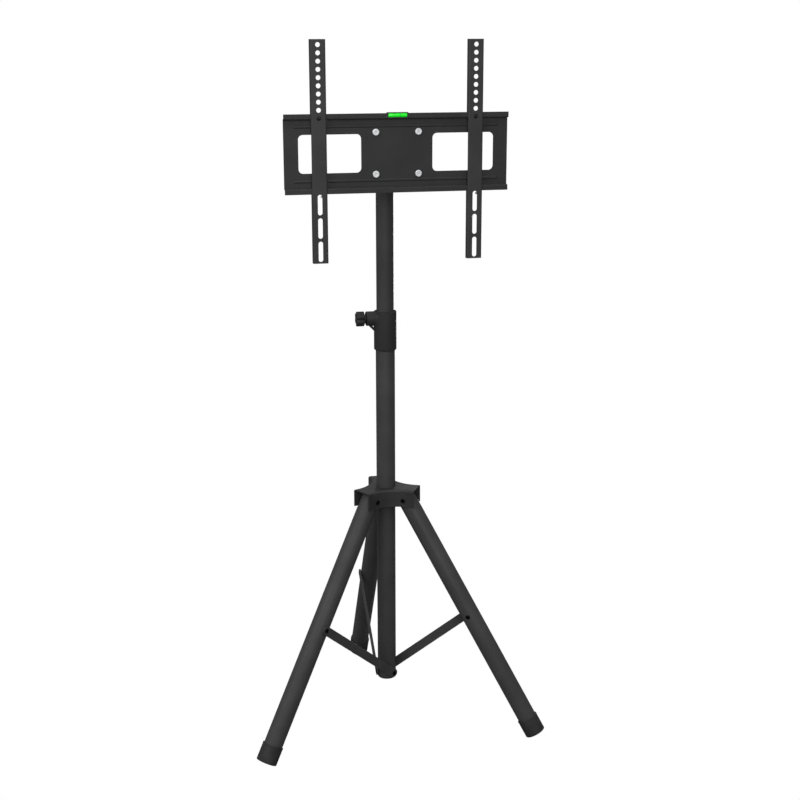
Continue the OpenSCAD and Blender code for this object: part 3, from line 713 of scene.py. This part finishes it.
for side, turn in LEG_TURN.items():
    along_leg = (toward(turn) @ Matrix.Translation((pivot_r, 0, pivot_z))
                 @ Matrix.Rotation(radians(180 - leg_lean), 4, "Y"))
    pin_place = along_leg @ Matrix.Translation((0, 0, brace_at)) @ along_y
    leg_tube = piece_of(f"leg_tube_{side}",
                        pipe(leg_r, leg_r - wall, -9 * mm, leg_reach - 4 * mm, place=along_leg))
    cut(leg_tube, *(rod(rivet_hole, -leg_r - 1 * mm, leg_r + 1 * mm, place)
                    for place in (along_leg @ along_y, pin_place)))
    fitted(smooth(leg_tube), tube_coat, f"leg_{side}", "tube_black", f"leg_{side}")
    foot_place = along_leg @ Matrix.Translation((0, 0, leg_reach)) @ Matrix.Rotation(pi, 4, "Y")
    foot = cup(leg_r + 2 * mm, leg_r + 0.02 * mm, foot_len, 4 * mm, 1.5 * mm, foot_place)
    fitted(smooth(piece_of(f"foot_cap_{side}", foot)), rubber, f"leg_{side}", "cap_rubber", f"foot_{side}")
    pin = hollow_rivet(-leg_r, leg_r - 0.3 * mm, pin_place, high_head=False)
    fitted(smooth(piece_of(f"leg_pin_{side}", pin)), oxide_black_and_bore_shade, f"leg_{side}", "rivet_black", f"leg_rivet_{side}")


# ---------------------------------------------------------------------------
# Braces: flat steel bars, 19 by 3 mm, with round ends and broken edges, pinned
# to the column below and to a leg above.
brace_len, brace_w = 246 * mm, 19 * mm
pin_out = pivot_r + brace_at * sin(radians(leg_lean))
pin_up = pivot_z - brace_at * cos(radians(leg_lean)) - brace_low_pin
brace_rise = atan2(pin_up, pin_out)
# Its paler edges are partly wear and partly a painted highlight on the bar's edges.
brace_coat = surface("satin_bar_coat", (0.033, 0.033, 0.034), (0.4, 0.52), 0.7 * mm, 0.12, 0.12, 40 * mm,
                     wear_and_highlight=0.3, Specular_IOR_Level=0.12)


def round_bar(length, width, steps=20):
    """Outline of a bar with round ends, from the origin along X."""
    half = [(width / 2 * sin(pi * k / steps), -width / 2 * cos(pi * k / steps)) for k in range(steps + 1)]
    return [(length + x, y) for x, y in half] + [(-x, -y) for x, y in half]


for side, turn in LEG_TURN.items():
    along_brace = (toward(turn) @ Matrix.Translation((0, 0, brace_low_pin))
                   @ Matrix.Rotation(-brace_rise, 4, "Y"))
    flat = along_brace @ Matrix.Rotation(radians(90), 4, "X")
    bar = piece_of(f"brace_bar_{side}",
                   drawn(round_bar(brace_len, brace_w), -brace_face - brace_t, -brace_face))
    cut(bar, *(rod(rivet_hole, -30 * mm, 0, Matrix.Translation((x, 0, 0))) for x in (0, brace_len)))
    broken_edges(bar, 0.45 * mm)
    bar.data.transform(flat)
    fitted(bar, brace_coat, f"brace_{side}", "brace_black", f"brace_{side}")
    pin_place = along_brace @ Matrix.Translation((brace_len, 0, 0)) @ along_y
    pin = hollow_rivet(leg_r + 0.4 * mm, brace_face + brace_t, pin_place, low_head=False)
    fitted(smooth(piece_of(f"brace_pin_{side}", pin)), oxide_black_and_bore_shade, f"brace_{side}", "rivet_black",
           f"brace_rivet_{side}")


# ---------------------------------------------------------------------------
# Mast: 36 mm tube that telescopes in the lower one, on a nylon plug, with a
# flat rubber cap under the head.
fitted(smooth(piece_of("mast_tube", pipe(mast_r, mast_r - wall, mast_low[2], mast_high[2], place=on_column))),
       tube_coat, "mast", "tube_black", "mast")
low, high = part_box("mast_guide")
plug_r = (high[0] - low[0]) / 2
plug = turned(eased([(0, low[2], 0), (plug_r, low[2], 0.8 * mm), (plug_r, mast_low[2], 0.4 * mm),
                     (mast_r - wall, mast_low[2], 0), (mast_r - wall, high[2], 0.6 * mm),
                     (0, high[2], 0)]), on_column)
fitted(smooth(piece_of("mast_plug", plug)), nylon, "mast", "nylon", "mast_guide")
low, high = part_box("mast_cap")
cap_inside_r = mast_r - wall
cap = turned(eased([(0, low[2], 0), (cap_inside_r, low[2], 0.6 * mm), (cap_inside_r, mast_high[2], 0),
                    (mast_r, mast_high[2], 0.3 * mm), (mast_r, high[2], 0.8 * mm), (0, high[2], 0)]), on_column)
fitted(smooth(piece_of("mast_top_cap", cap)), rubber, "mast", "cap_rubber", "mast_cap")


# ---------------------------------------------------------------------------
# Mounting plate: one 2 mm sheet, its upper and lower lips folded forward in
# front of the web, with two windows, two long stiffening beads, four bolt holes
# and a notch for the level.
low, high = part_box("mounting_plate")
plate_low, plate_top, plate_front = low[2], high[2], low[1]
plate_w = high[0] - low[0]
plate_mid = (plate_low + plate_top) / 2
sheet = 2 * mm
web_back = high[1]
web_front = web_back - sheet
lip_h = 11 * mm
bolt_dx, bolt_dz = 84 * mm, 80 * mm
outside = 2.6 * mm
inside = outside - sheet


def plate_section():
    """The folded section in the YZ plane, from the top lip to the bottom lip and back."""
    step = lip_h - sheet
    front = [(plate_front, plate_top, 0), (plate_front, plate_top - lip_h, outside),
             (web_front, plate_top - lip_h, inside), (web_front, plate_low + lip_h, inside),
             (plate_front, plate_low + lip_h, outside), (plate_front, plate_low, 0)]
    back = [(plate_front + sheet, plate_low, 0), (plate_front + sheet, plate_low + step, inside),
            (web_back, plate_low + step, outside), (web_back, plate_top - step, outside),
            (plate_front + sheet, plate_top - step, inside), (plate_front + sheet, plate_top, 0)]
    return eased(front + back, 4)


across = Matrix(((0, 0, 1, 0), (1, 0, 0, 0), (0, 1, 0, 0), (0, 0, 0, 1)))   # outline (y, z) drawn along x
through = Matrix(((1, 0, 0, 0), (0, 0, 1, 0), (0, 1, 0, 0), (0, 0, 0, 1)))  # outline (x, z) drawn along y
plate = piece_of("mounting_sheet", drawn(plate_section(), -plate_w / 2, plate_w / 2, across))
window_x, window_w, window_h = (plate_w + bolt_dx) / 4, 122 * mm, 73 * mm


def window(x):
    corners = [(x + sx * window_w / 2, plate_mid + sz * window_h / 2, 9 * mm)
               for sx, sz in ((-1, -1), (1, -1), (1, 1), (-1, 1))]
    return drawn(eased(corners, 8), plate_front - 0.02, web_back + 0.02, through)


def bolt_holes(back_y):
    """Rods for the four bolts, through the sheet whose back is at back_y."""
    return [rod(3.3 * mm, -0.02, 0.02, Matrix.Translation(
        (x * bolt_dx / 2, back_y, plate_mid + z * bolt_dz / 2)) @ facing, 32) for x in (-1, 1) for z in (-1, 1)]


facing = Matrix(((1, 0, 0, 0), (0, 0, -1, 0), (0, 1, 0, 0), (0, 0, 0, 1)))  # +Z of a turned shape to -Y
low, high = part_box("level_frame")
level_low, level_high = Vector(low), Vector(high)
notch = drawn([(level_low.x, level_low.z + 0.05 * mm), (level_high.x, level_low.z + 0.05 * mm),
               (level_high.x, plate_top + 0.01), (level_low.x, plate_top + 0.01)],
              plate_front - 0.01, plate_front + sheet + 0.2 * mm, through)
cut(plate, window(-window_x), window(window_x), *bolt_holes(web_back), notch)
broken_edges(plate, 0.3 * mm)


def bead(z, length, width, height):
    """A raised bead with a rounded crest on the web's face."""
    shape = bmesh.new()
    rows = [(1.0, -0.3), (1.0, 0.0), (0.93, 0.35), (0.78, 0.68), (0.52, 0.92), (0.2, 1.0)]
    rings = []
    for share, rise in rows:
        outline = round_bar(length - width, width * share, 10)
        rings.append([shape.verts.new((x - (length - width) / 2, web_front - height * rise, z + y))
                      for x, y in outline])
    shape.faces.new(rings[0])
    shape.faces.new(rings[-1])
    return skinned(shape, rings)


beads = smooth(piece_of("plate_beads", *(bead(z, plate_w - 37 * mm, 5.7 * mm, 1.4 * mm)
                                         for z in (plate_low + 24 * mm, plate_top - 24 * mm))))
fitted(plate, sheet_coat, "display_mount", "sheet_black", "mounting_plate")
fitted(beads, sheet_coat, "display_mount", "sheet_black")


# ---------------------------------------------------------------------------
# Plate bolts: four bright zinc-plated socket-cap screws with their nuts behind
# the bracket.
bright_zinc = surface("bright_zinc", (0.56, 0.57, 0.58), (0.34, 0.44), 0.25 * mm, 0.05, 0.04, 6 * mm,
                      Metallic=0.25)
dull_zinc = surface("dull_zinc", (0.52, 0.53, 0.54), (0.3, 0.42), 0.25 * mm, 0.08, 0.12, 10 * mm, Metallic=1.0)


def rows_tree():
    """Sets a piece out in columns along X and rows along Z."""
    tree, given, points, _ = repeater("set_in_rows", ("Columns", "Int"), ("Rows", "Int"),
                                      ("Column Step", "Float"), ("Row Step", "Float"))
    tree.links.new(reckoned(tree, "MULTIPLY", given["Columns"], given["Rows"]), points.inputs["Count"])
    index = tree.nodes.new("GeometryNodeInputIndex").outputs[0]
    column = reckoned(tree, "MODULO", index, given["Columns"])
    row = reckoned(tree, "FLOOR", reckoned(tree, "DIVIDE", index, given["Columns"]))
    spot = tree.nodes.new("ShaderNodeCombineXYZ")
    tree.links.new(reckoned(tree, "MULTIPLY", column, given["Column Step"]), spot.inputs["X"])
    tree.links.new(reckoned(tree, "MULTIPLY", row, given["Row Step"]), spot.inputs["Z"])
    tree.links.new(spot.outputs[0], points.inputs["Position"])
    return tree


def six_sided(across_flats):
    r = across_flats / 2 / cos(radians(30))
    return [(r * cos(radians(60 * k)), r * sin(radians(60 * k))) for k in range(6)]


in_rows = rows_tree()
first_bolt = Matrix.Translation((-bolt_dx / 2, web_front, plate_mid - bolt_dz / 2)) @ facing
low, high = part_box("plate_bolts")
bolt_head = 4 * mm
screw = turned(eased([(0, web_front - high[1], 0), (3 * mm, web_front - high[1], 0.4 * mm), (3 * mm, 0, 0),
                      (6.4 * mm, 0, 0.2 * mm), (6.4 * mm, bolt_head, 0.9 * mm), (3.4 * mm, bolt_head, 0.2 * mm),
                      (3.2 * mm, bolt_head - 0.7 * mm, 0), (0, bolt_head - 0.7 * mm, 0)]), steps=48)
bolts = piece_of("plate_screws", screw)
cut(bolts, drawn(six_sided(4 * mm), 2 * mm, 8 * mm))
smooth(bolts)
bolts.data.transform(first_bolt)
repeated(bolts, in_rows, Columns=2, Rows=2, Column_Step=bolt_dx, Row_Step=bolt_dz, Finish=bright_zinc)
fitted(bolts, bright_zinc, "display_mount", "zinc_bright", "plate_bolts")


def six_sided_nut(across_flats, height, bore_r, place):
    """A hexagon nut with turned corners on both faces."""
    nut = piece_of("nut", drawn(six_sided(across_flats), 0, height))
    edge_r = across_flats / 2 / cos(radians(30))
    rim = 0.12 * across_flats
    keep = piece_of("tool", turned([(0, 0), (across_flats / 2 * 0.98, 0), (edge_r + 0.1 * mm, rim * 0.5),
                                    (edge_r + 0.1 * mm, height - rim * 0.5), (across_flats / 2 * 0.98, height),
                                    (0, height)], steps=48))
    both = nut.modifiers.new("corners", "BOOLEAN")
    both.operation, both.solver, both.object = "INTERSECT", "EXACT", keep
    settled(nut)
    bpy.data.objects.remove(keep)
    cut(nut, rod(bore_r, -1 * mm, height + 1 * mm))
    smooth(nut, 25)
    nut.data.transform(place)
    return nut


low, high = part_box("plate_nuts")
nuts = six_sided_nut(10 * mm, high[1] - low[1], 3.02 * mm,
                     Matrix.Translation((-bolt_dx / 2, high[1], plate_mid - bolt_dz / 2)) @ facing)
nuts.name = "plate_screw_nuts"
repeated(nuts, in_rows, Columns=2, Rows=2, Column_Step=bolt_dx, Row_Step=bolt_dz, Finish=dull_zinc)
fitted(nuts, dull_zinc, "display_mount", "zinc_steel", "plate_nuts")


# ---------------------------------------------------------------------------
# Spirit level: a moulded black tray clipped in the upper lip, holding a bright
# green acrylic vial with two black index rings and a bubble.
tray_plastic = surface("tray_plastic", (0.010, 0.010, 0.010), (0.3, 0.4), 0.4 * mm, 0.08, 0.06, 20 * mm,
                       Specular_IOR_Level=0.4)
vial_low, vial_high = (Vector(corner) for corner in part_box("level_vial"))
tray = piece_of("level_tray", drawn([(level_low.x, level_low.z), (level_high.x, level_low.z),
                                     (level_high.x, level_high.z), (level_low.x, level_high.z)],
                                    level_low.y, level_high.y, through))
pocket = eased([(vial_low.x, level_low.z + 1 * mm, 0.8 * mm), (vial_high.x, level_low.z + 1 * mm, 0.8 * mm),
                (vial_high.x, level_high.z - 1 * mm, 0.8 * mm), (vial_low.x, level_high.z - 1 * mm, 0.8 * mm)])
cut(tray, drawn(pocket, level_low.y - 2 * mm, level_high.y - 1 * mm, through))
broken_edges(tray, 0.3 * mm)
fitted(tray, tray_plastic, "display_mount", "level_tray", "level_frame")

# The emission is a painted glow: the vial gives off green light of its own, standing in for the light the lit
# acrylic throws back.
vial_green = surface("green_acrylic", (0.006, 0.66, 0.012), (0.2, 0.26), 2 * mm, 0.0, 0.04, 20 * mm,
                     Coat_Weight=0.15, Coat_Roughness=0.1, Emission_Strength=0.22,
                     Emission_Color=(0.01, 0.85, 0.02, 1.0))
vial_r = (vial_high.z - vial_low.z) / 2
vial_half = (vial_high.x - vial_low.x) / 2
vial_y = (vial_low.y + vial_high.y) / 2
vial_axis = Matrix.Translation((vial_low.x + vial_half, vial_y, vial_low.z + vial_r)) @ along_x
vial = smooth(piece_of("level_tube", turned(eased([(0, -vial_half, 0), (vial_r, -vial_half, 1 * mm),
                                                   (vial_r, vial_half, 1 * mm), (0, vial_half, 0)]),
                                            vial_axis, 64)))
fitted(vial, vial_green, "display_mount", "vial_green", "level_vial")
index_rings = smooth(piece_of("level_index_rings", *(
    pipe(vial_r + 0.05 * mm, vial_r - 0.3 * mm, x - 0.22 * mm, x + 0.22 * mm, 0.03 * mm, vial_axis, 64)
    for x in (-5 * mm, 5 * mm))))
fitted(index_rings, tray_plastic, "display_mount", "level_tray")
bubble_green = surface("bubble_green", (0.10, 0.85, 0.10), (0.1, 0.14), 2 * mm, 0.0, 0.03, 20 * mm,
                       Coat_Weight=0.3, Coat_Roughness=0.06)
bubble_r, bubble_half = vial_r - 1.3 * mm, 4 * mm
bubble_shape = turned(eased([(0, -bubble_half, 0), (bubble_r, -bubble_half, 1.6 * mm),
                             (bubble_r, bubble_half, 1.6 * mm), (0, bubble_half, 0)]), steps=48)
bubble_shape.transform(Matrix.Translation((0, -0.75 * mm, 0.75 * mm)) @ vial_axis)
fitted(smooth(piece_of("level_bubble", bubble_shape)), bubble_green, "display_mount", "vial_green")


# ---------------------------------------------------------------------------
# Arms: two shallow channels folded from 2 mm sheet. Hooks in their flanges hang
# behind the plate's upper lip. Ten round holes and three slots in a row take
# the display's bolts.
# Its paler edges are partly wear and partly a painted highlight on the arms' bends.
arm_coat = surface("satin_arm_coat", (0.030, 0.030, 0.031), (0.42, 0.52), 0.7 * mm, 0.1, 0.1, 50 * mm,
                   wear_and_highlight=0.25, Specular_IOR_Level=0.12)
arm_gap_z = 0.3 * mm
hook_low = plate_top - lip_h + sheet + arm_gap_z
hook_y = plate_front + sheet + arm_gap_z
hole_pitch, slot_len = 15 * mm, 30.3 * mm


def folded_arm(side):
    low, high = (Vector(corner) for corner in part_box(f"arm_{side}"))
    x, width, t, r = (low.x + high.x) / 2, high.x - low.x, 2 * mm, 3 * mm
    front, back = low.y, high.y
    out, within = width / 2, width / 2 - t
    section = eased([(-out, back, 0), (-out, front, r), (out, front, r), (out, back, 0), (within, back, 0),
                     (within, front + t, r - t), (-within, front + t, r - t), (-within, back, 0)])
    arm = piece_of(f"folded_arm_{side}", drawn(section, low.z, high.z, Matrix.Translation((x, 0, 0))))
    room = [(front + t + 0.3 * mm, plate_low - arm_gap_z, 1 * mm), (back + 0.01, plate_low - arm_gap_z, 0),
            (back + 0.01, hook_low, 0), (hook_y, hook_low, 0.6 * mm), (hook_y, plate_top + arm_gap_z, 0.4 * mm),
            (front + t + 0.3 * mm, plate_top + arm_gap_z, 0.4 * mm)]
    hole = piece_of("tool", rod(4.5 * mm, -0.01, 0.01, Matrix.Translation(
        (x, front, high.z - 10 * mm - 9 * hole_pitch)) @ facing))
    repeated(hole, in_rows, Columns=1, Rows=10, Column_Step=0.0, Row_Step=hole_pitch)
    slot_outline = [(across_arm, along) for along, across_arm in round_bar(slot_len, 9 * mm)]
    slot = piece_of("tool", drawn(slot_outline, -0.01, 0.01, Matrix.Translation(
        (x, front, low.z + 23 * mm - slot_len / 2)) @ facing))
    repeated(slot, in_rows, Columns=1, Rows=3, Column_Step=0.0, Row_Step=3 * hole_pitch)
    screw_hole = rod(2.56 * mm, 0, 0.02, Matrix.Translation(
        (x + width / 2 - 5 * mm, plate_front + sheet, plate_low - 5 * mm)) @ along_x, 32)
    cut(arm, drawn(eased(room, 3), x - 0.03, x + 0.03, across), hole, slot, screw_hole)
    broken_edges(arm, 0.3 * mm)
    return arm


for side in ("left", "right"):
    fitted(folded_arm(side), arm_coat, f"arm_{side}", "arm_black", f"arm_{side}")
    low, high = (Vector(corner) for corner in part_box(f"safety_screw_{side}"))
    length, r = high.x - low.x, (high.z - low.z) / 2
    place = Matrix.Translation((low.x, (low.y + high.y) / 2, (low.z + high.z) / 2)) @ along_x
    pitch = 0.8 * mm
    rows = [(0, 0, 0), (r - 0.8 * mm, 0, 0), (r - 0.35 * mm, 0.6 * mm, 0)]
    for k in range(int((length - 2 * pitch) / pitch)):
        rows += [(r, (k + 1.5) * pitch, 0), (r - 0.4 * mm, (k + 2) * pitch, 0)]
    rows += [(r - 0.2 * mm, length, 0), (0, length, 0)]
    grub = piece_of(f"grub_screw_{side}", turned(eased(rows), steps=40))
    cut(grub, drawn(six_sided(2.5 * mm), length - 2.5 * mm, length + 1 * mm))
    smooth(grub, 25)
    grub.data.transform(place)
    fitted(grub, dull_zinc, f"safety_{side}", "zinc_steel", f"safety_screw_{side}")


# ---------------------------------------------------------------------------
# Head: a welded steel socket over the mast's top with two lugs, and a bracket
# with two ears, bolted behind the plate. The tilt bolt runs through them all.
_, tilt_y, tilt_z = joint_at["display_mount"]
to_tilt = Matrix.Translation((0, tilt_y, tilt_z)) @ along_x
low, high = (Vector(corner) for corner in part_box("head_socket"))
socket_r = high.x - axis_x
over_mast, ceiling = mast_r + 0.05 * mm, mast_high[2] + 4.2 * mm
socket = piece_of("head_socket_tube", turned(eased([
    (over_mast, low.z, 0), (socket_r, low.z, 1.2 * mm), (socket_r, high.z, 2.5 * mm), (0, high.z, 0),
    (0, ceiling, 0), (over_mast, ceiling, 0)]), on_column, 96))
cut(socket, rod(4.5 * mm, 0, 0.05, on_column @ Matrix.Translation((0, 0, low.z + 16 * mm)) @ along_y))
fitted(smooth(socket, 40), sheet_coat, "head", "sheet_black")


def lug(x_low, x_high, radius, y_root, half_root, hole_r, name):
    """A flat lug round the tilt axis, its root at y_root."""
    steps = 24
    toward_root = 1 if y_root > tilt_y else -1
    arc = [(tilt_y - toward_root * radius * cos(pi * k / steps - pi / 2),
            tilt_z + radius * sin(pi * k / steps - pi / 2)) for k in range(steps + 1)]
    outline = arc + [(y_root, tilt_z + half_root), (y_root, tilt_z - half_root)]
    plate_piece = piece_of(name, drawn(outline, x_low, x_high, across))
    cut(plate_piece, rod(hole_r, x_low - 0.01, x_high + 0.01, to_tilt, 48))
    return broken_edges(plate_piece, 0.5 * mm)


def joined(name, *things):
    """Several objects as one."""
    whole = bmesh.new()
    for thing in things:
        whole.from_mesh(thing.data)
        bpy.data.objects.remove(thing)
    return smooth(piece_of(name, whole), 40)


lug_x, lug_t = 14 * mm, 4 * mm
root_y = axis_y - sqrt(socket_r ** 2 - (lug_x + lug_t) ** 2) + 4 * mm
lugs = joined("head_lugs", *(lug(x, x + lug_t, 18 * mm, root_y, 18 * mm, 5.02 * mm, "lug")
                             for x in (-lug_x - lug_t, lug_x)))
fitted(lugs, sheet_coat, "head", "sheet_black", "head_socket")

low, high = (Vector(corner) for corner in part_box("tilt_bracket"))
back_t = 3 * mm
ear_x, ear_t = lug_x + lug_t + 0.3 * mm, 3 * mm
back_corners = [(sx * (high.x - low.x) / 2, plate_mid + sz * (high.z - low.z) / 2, 8 * mm)
                for sx, sz in ((-1, -1), (1, -1), (1, 1), (-1, 1))]
back_plate = piece_of("back", drawn(eased(back_corners), low.y, low.y + back_t, through))
cut(back_plate, *bolt_holes(low.y))
broken_edges(back_plate, 0.4 * mm)
ears = [lug(x, x + ear_t, 16 * mm, low.y + back_t - 0.5 * mm, 16 * mm, 5.06 * mm, "ear")
        for x in (-ear_x - ear_t, ear_x)]
fitted(joined("display_bracket", back_plate, *ears), sheet_coat, "display_mount", "sheet_black", "tilt_bracket")


# ---------------------------------------------------------------------------
# Tilt bolt and lock screws: zinc-plated steel with a turned thread, their nuts,
# a brass bush in the tilt knob, and the knobs themselves.
def threaded(r, low_z, high_z, thread_from, place, pitch=1.25 * mm):
    """A plain shank with a thread from thread_from to its end, both ends chamfered."""
    depth = 0.5 * mm
    corners = [(0, low_z), (r - depth, low_z), (r, low_z + depth), (r, thread_from)]
    z = thread_from
    while z + pitch < high_z - depth:
        corners += [(r - depth, z + pitch * 0.35), (r - depth, z + pitch * 0.5), (r, z + pitch * 0.9),
                    (r, z + pitch)]
        z += pitch
    corners += [(r, high_z - depth), (r - depth, high_z), (0, high_z)]
    return turned(corners, place, 48)


low, high = (Vector(corner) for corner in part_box("tilt_bolt"))
hex_head = six_sided_nut(17 * mm, 6 * mm, 0.3 * mm, to_tilt @ Matrix.Translation((0, 0, low.x)))
shank = piece_of("shank", threaded(5 * mm, low.x + 5 * mm, high.x, 24 * mm, to_tilt, 1.5 * mm))
fitted(joined("tilt_hex_bolt", hex_head, shank), dull_zinc, "head", "zinc_steel", "tilt_bolt")
low, high = (Vector(corner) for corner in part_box("tilt_washer"))
fitted(smooth(piece_of("tilt_flat_washer", pipe(10 * mm, 5.06 * mm, low.x, high.x, 0.25 * mm, to_tilt, 48))),
       dull_zinc, "tilt_lock", "zinc_steel", "tilt_washer")
low, high = (Vector(corner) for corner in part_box("tilt_knob"))
fitted(smooth(piece_of("tilt_hand_knob", lobed_knob(34 * mm, high.x - low.x, 8.02 * mm,
                                                    to_tilt @ Matrix.Translation((0, 0, low.x))))),
       knob_plastic, "tilt_lock", "knob_plastic", "tilt_knob")
brass = surface("machined_brass", (0.72, 0.52, 0.22), (0.22, 0.32), 0.3 * mm, 0.06, 0.08, 8 * mm, Metallic=1.0)
low, high = (Vector(corner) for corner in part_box("tilt_knob_nut"))
fitted(smooth(piece_of("tilt_knob_bush", pipe(8 * mm, 5.06 * mm, low.x, high.x, 0.4 * mm, to_tilt, 48))), brass,
       "tilt_lock", "brass_insert", "tilt_knob_nut")

turn_lock = toward(30) @ Matrix.Translation((0, 0, (hub_low + hub_top) / 2 - 5 * mm)) @ along_x
fitted(smooth(piece_of("hub_hand_knob", lobed_knob(22 * mm, 16 * mm, 4.02 * mm,
                                                   turn_lock @ Matrix.Translation((0, 0, waist + 3 * mm))))),
       knob_plastic, "hub_lock", "knob_plastic", "hub_lock_knob")
fitted(smooth(piece_of("hub_screw", threaded(4 * mm, column_r + 0.05 * mm, waist + 15 * mm, column_r + 4 * mm,
                                             turn_lock)), 25),
       dull_zinc, "hub_lock", "zinc_steel", "hub_lock_screw")
hub_nut = six_sided_nut(13 * mm, 6.5 * mm, 4.06 * mm,
                        turn_lock @ Matrix.Translation((0, 0, waist - hub_t - 7.1 * mm)))
hub_nut.name = "hub_inner_nut"
fitted(hub_nut, dull_zinc, "hub", "zinc_steel", "hub_nut")

low, high = (Vector(corner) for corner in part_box("head_lock_knob"))
head_lock = Matrix.Translation((axis_x, 0, (low.z + high.z) / 2)) @ along_y
fitted(smooth(piece_of("head_hand_knob", lobed_knob(26 * mm, 16 * mm, 4.02 * mm,
                                                    head_lock @ Matrix.Translation((0, 0, low.y))))),
       knob_plastic, "head_lock", "knob_plastic", "head_lock_knob")
low, high = (Vector(corner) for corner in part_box("head_lock_screw"))
fitted(smooth(piece_of("head_screw", threaded(4 * mm, low.y, high.y, low.y + 3 * mm, head_lock)), 25),
       dull_zinc, "head_lock", "zinc_steel", "head_lock_screw")
low, high = (Vector(corner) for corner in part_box("head_nut"))
head_nut = six_sided_nut(13 * mm, high.y - low.y, 4.06 * mm, head_lock @ Matrix.Translation((0, 0, low.y)))
head_nut.name = "head_weld_nut"
fitted(head_nut, dull_zinc, "head", "zinc_steel", "head_nut")

low, high = (Vector(corner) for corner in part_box("collar_stud"))
to_boss = on_column @ Matrix.Translation((0, 0, boss_z)) @ along_minus_x
fitted(smooth(piece_of("clamp_stud", threaded(4 * mm, axis_x - high.x, axis_x - low.x, axis_x - high.x + 2 * mm,
                                              to_boss)), 25),
       dull_zinc, "clamp_knob", "zinc_steel", "collar_stud")


# ---------------------------------------------------------------------------
# Pieces whose CAD shape is right: the brass insert in the boss and the nylon
# pad that presses on the mast.
for node, finish in (("collar_insert", brass), ("clamp_pad", nylon)):
    mesh = frame["nodes"][node].data
    mesh.materials.clear()
    mesh.materials.append(finish)
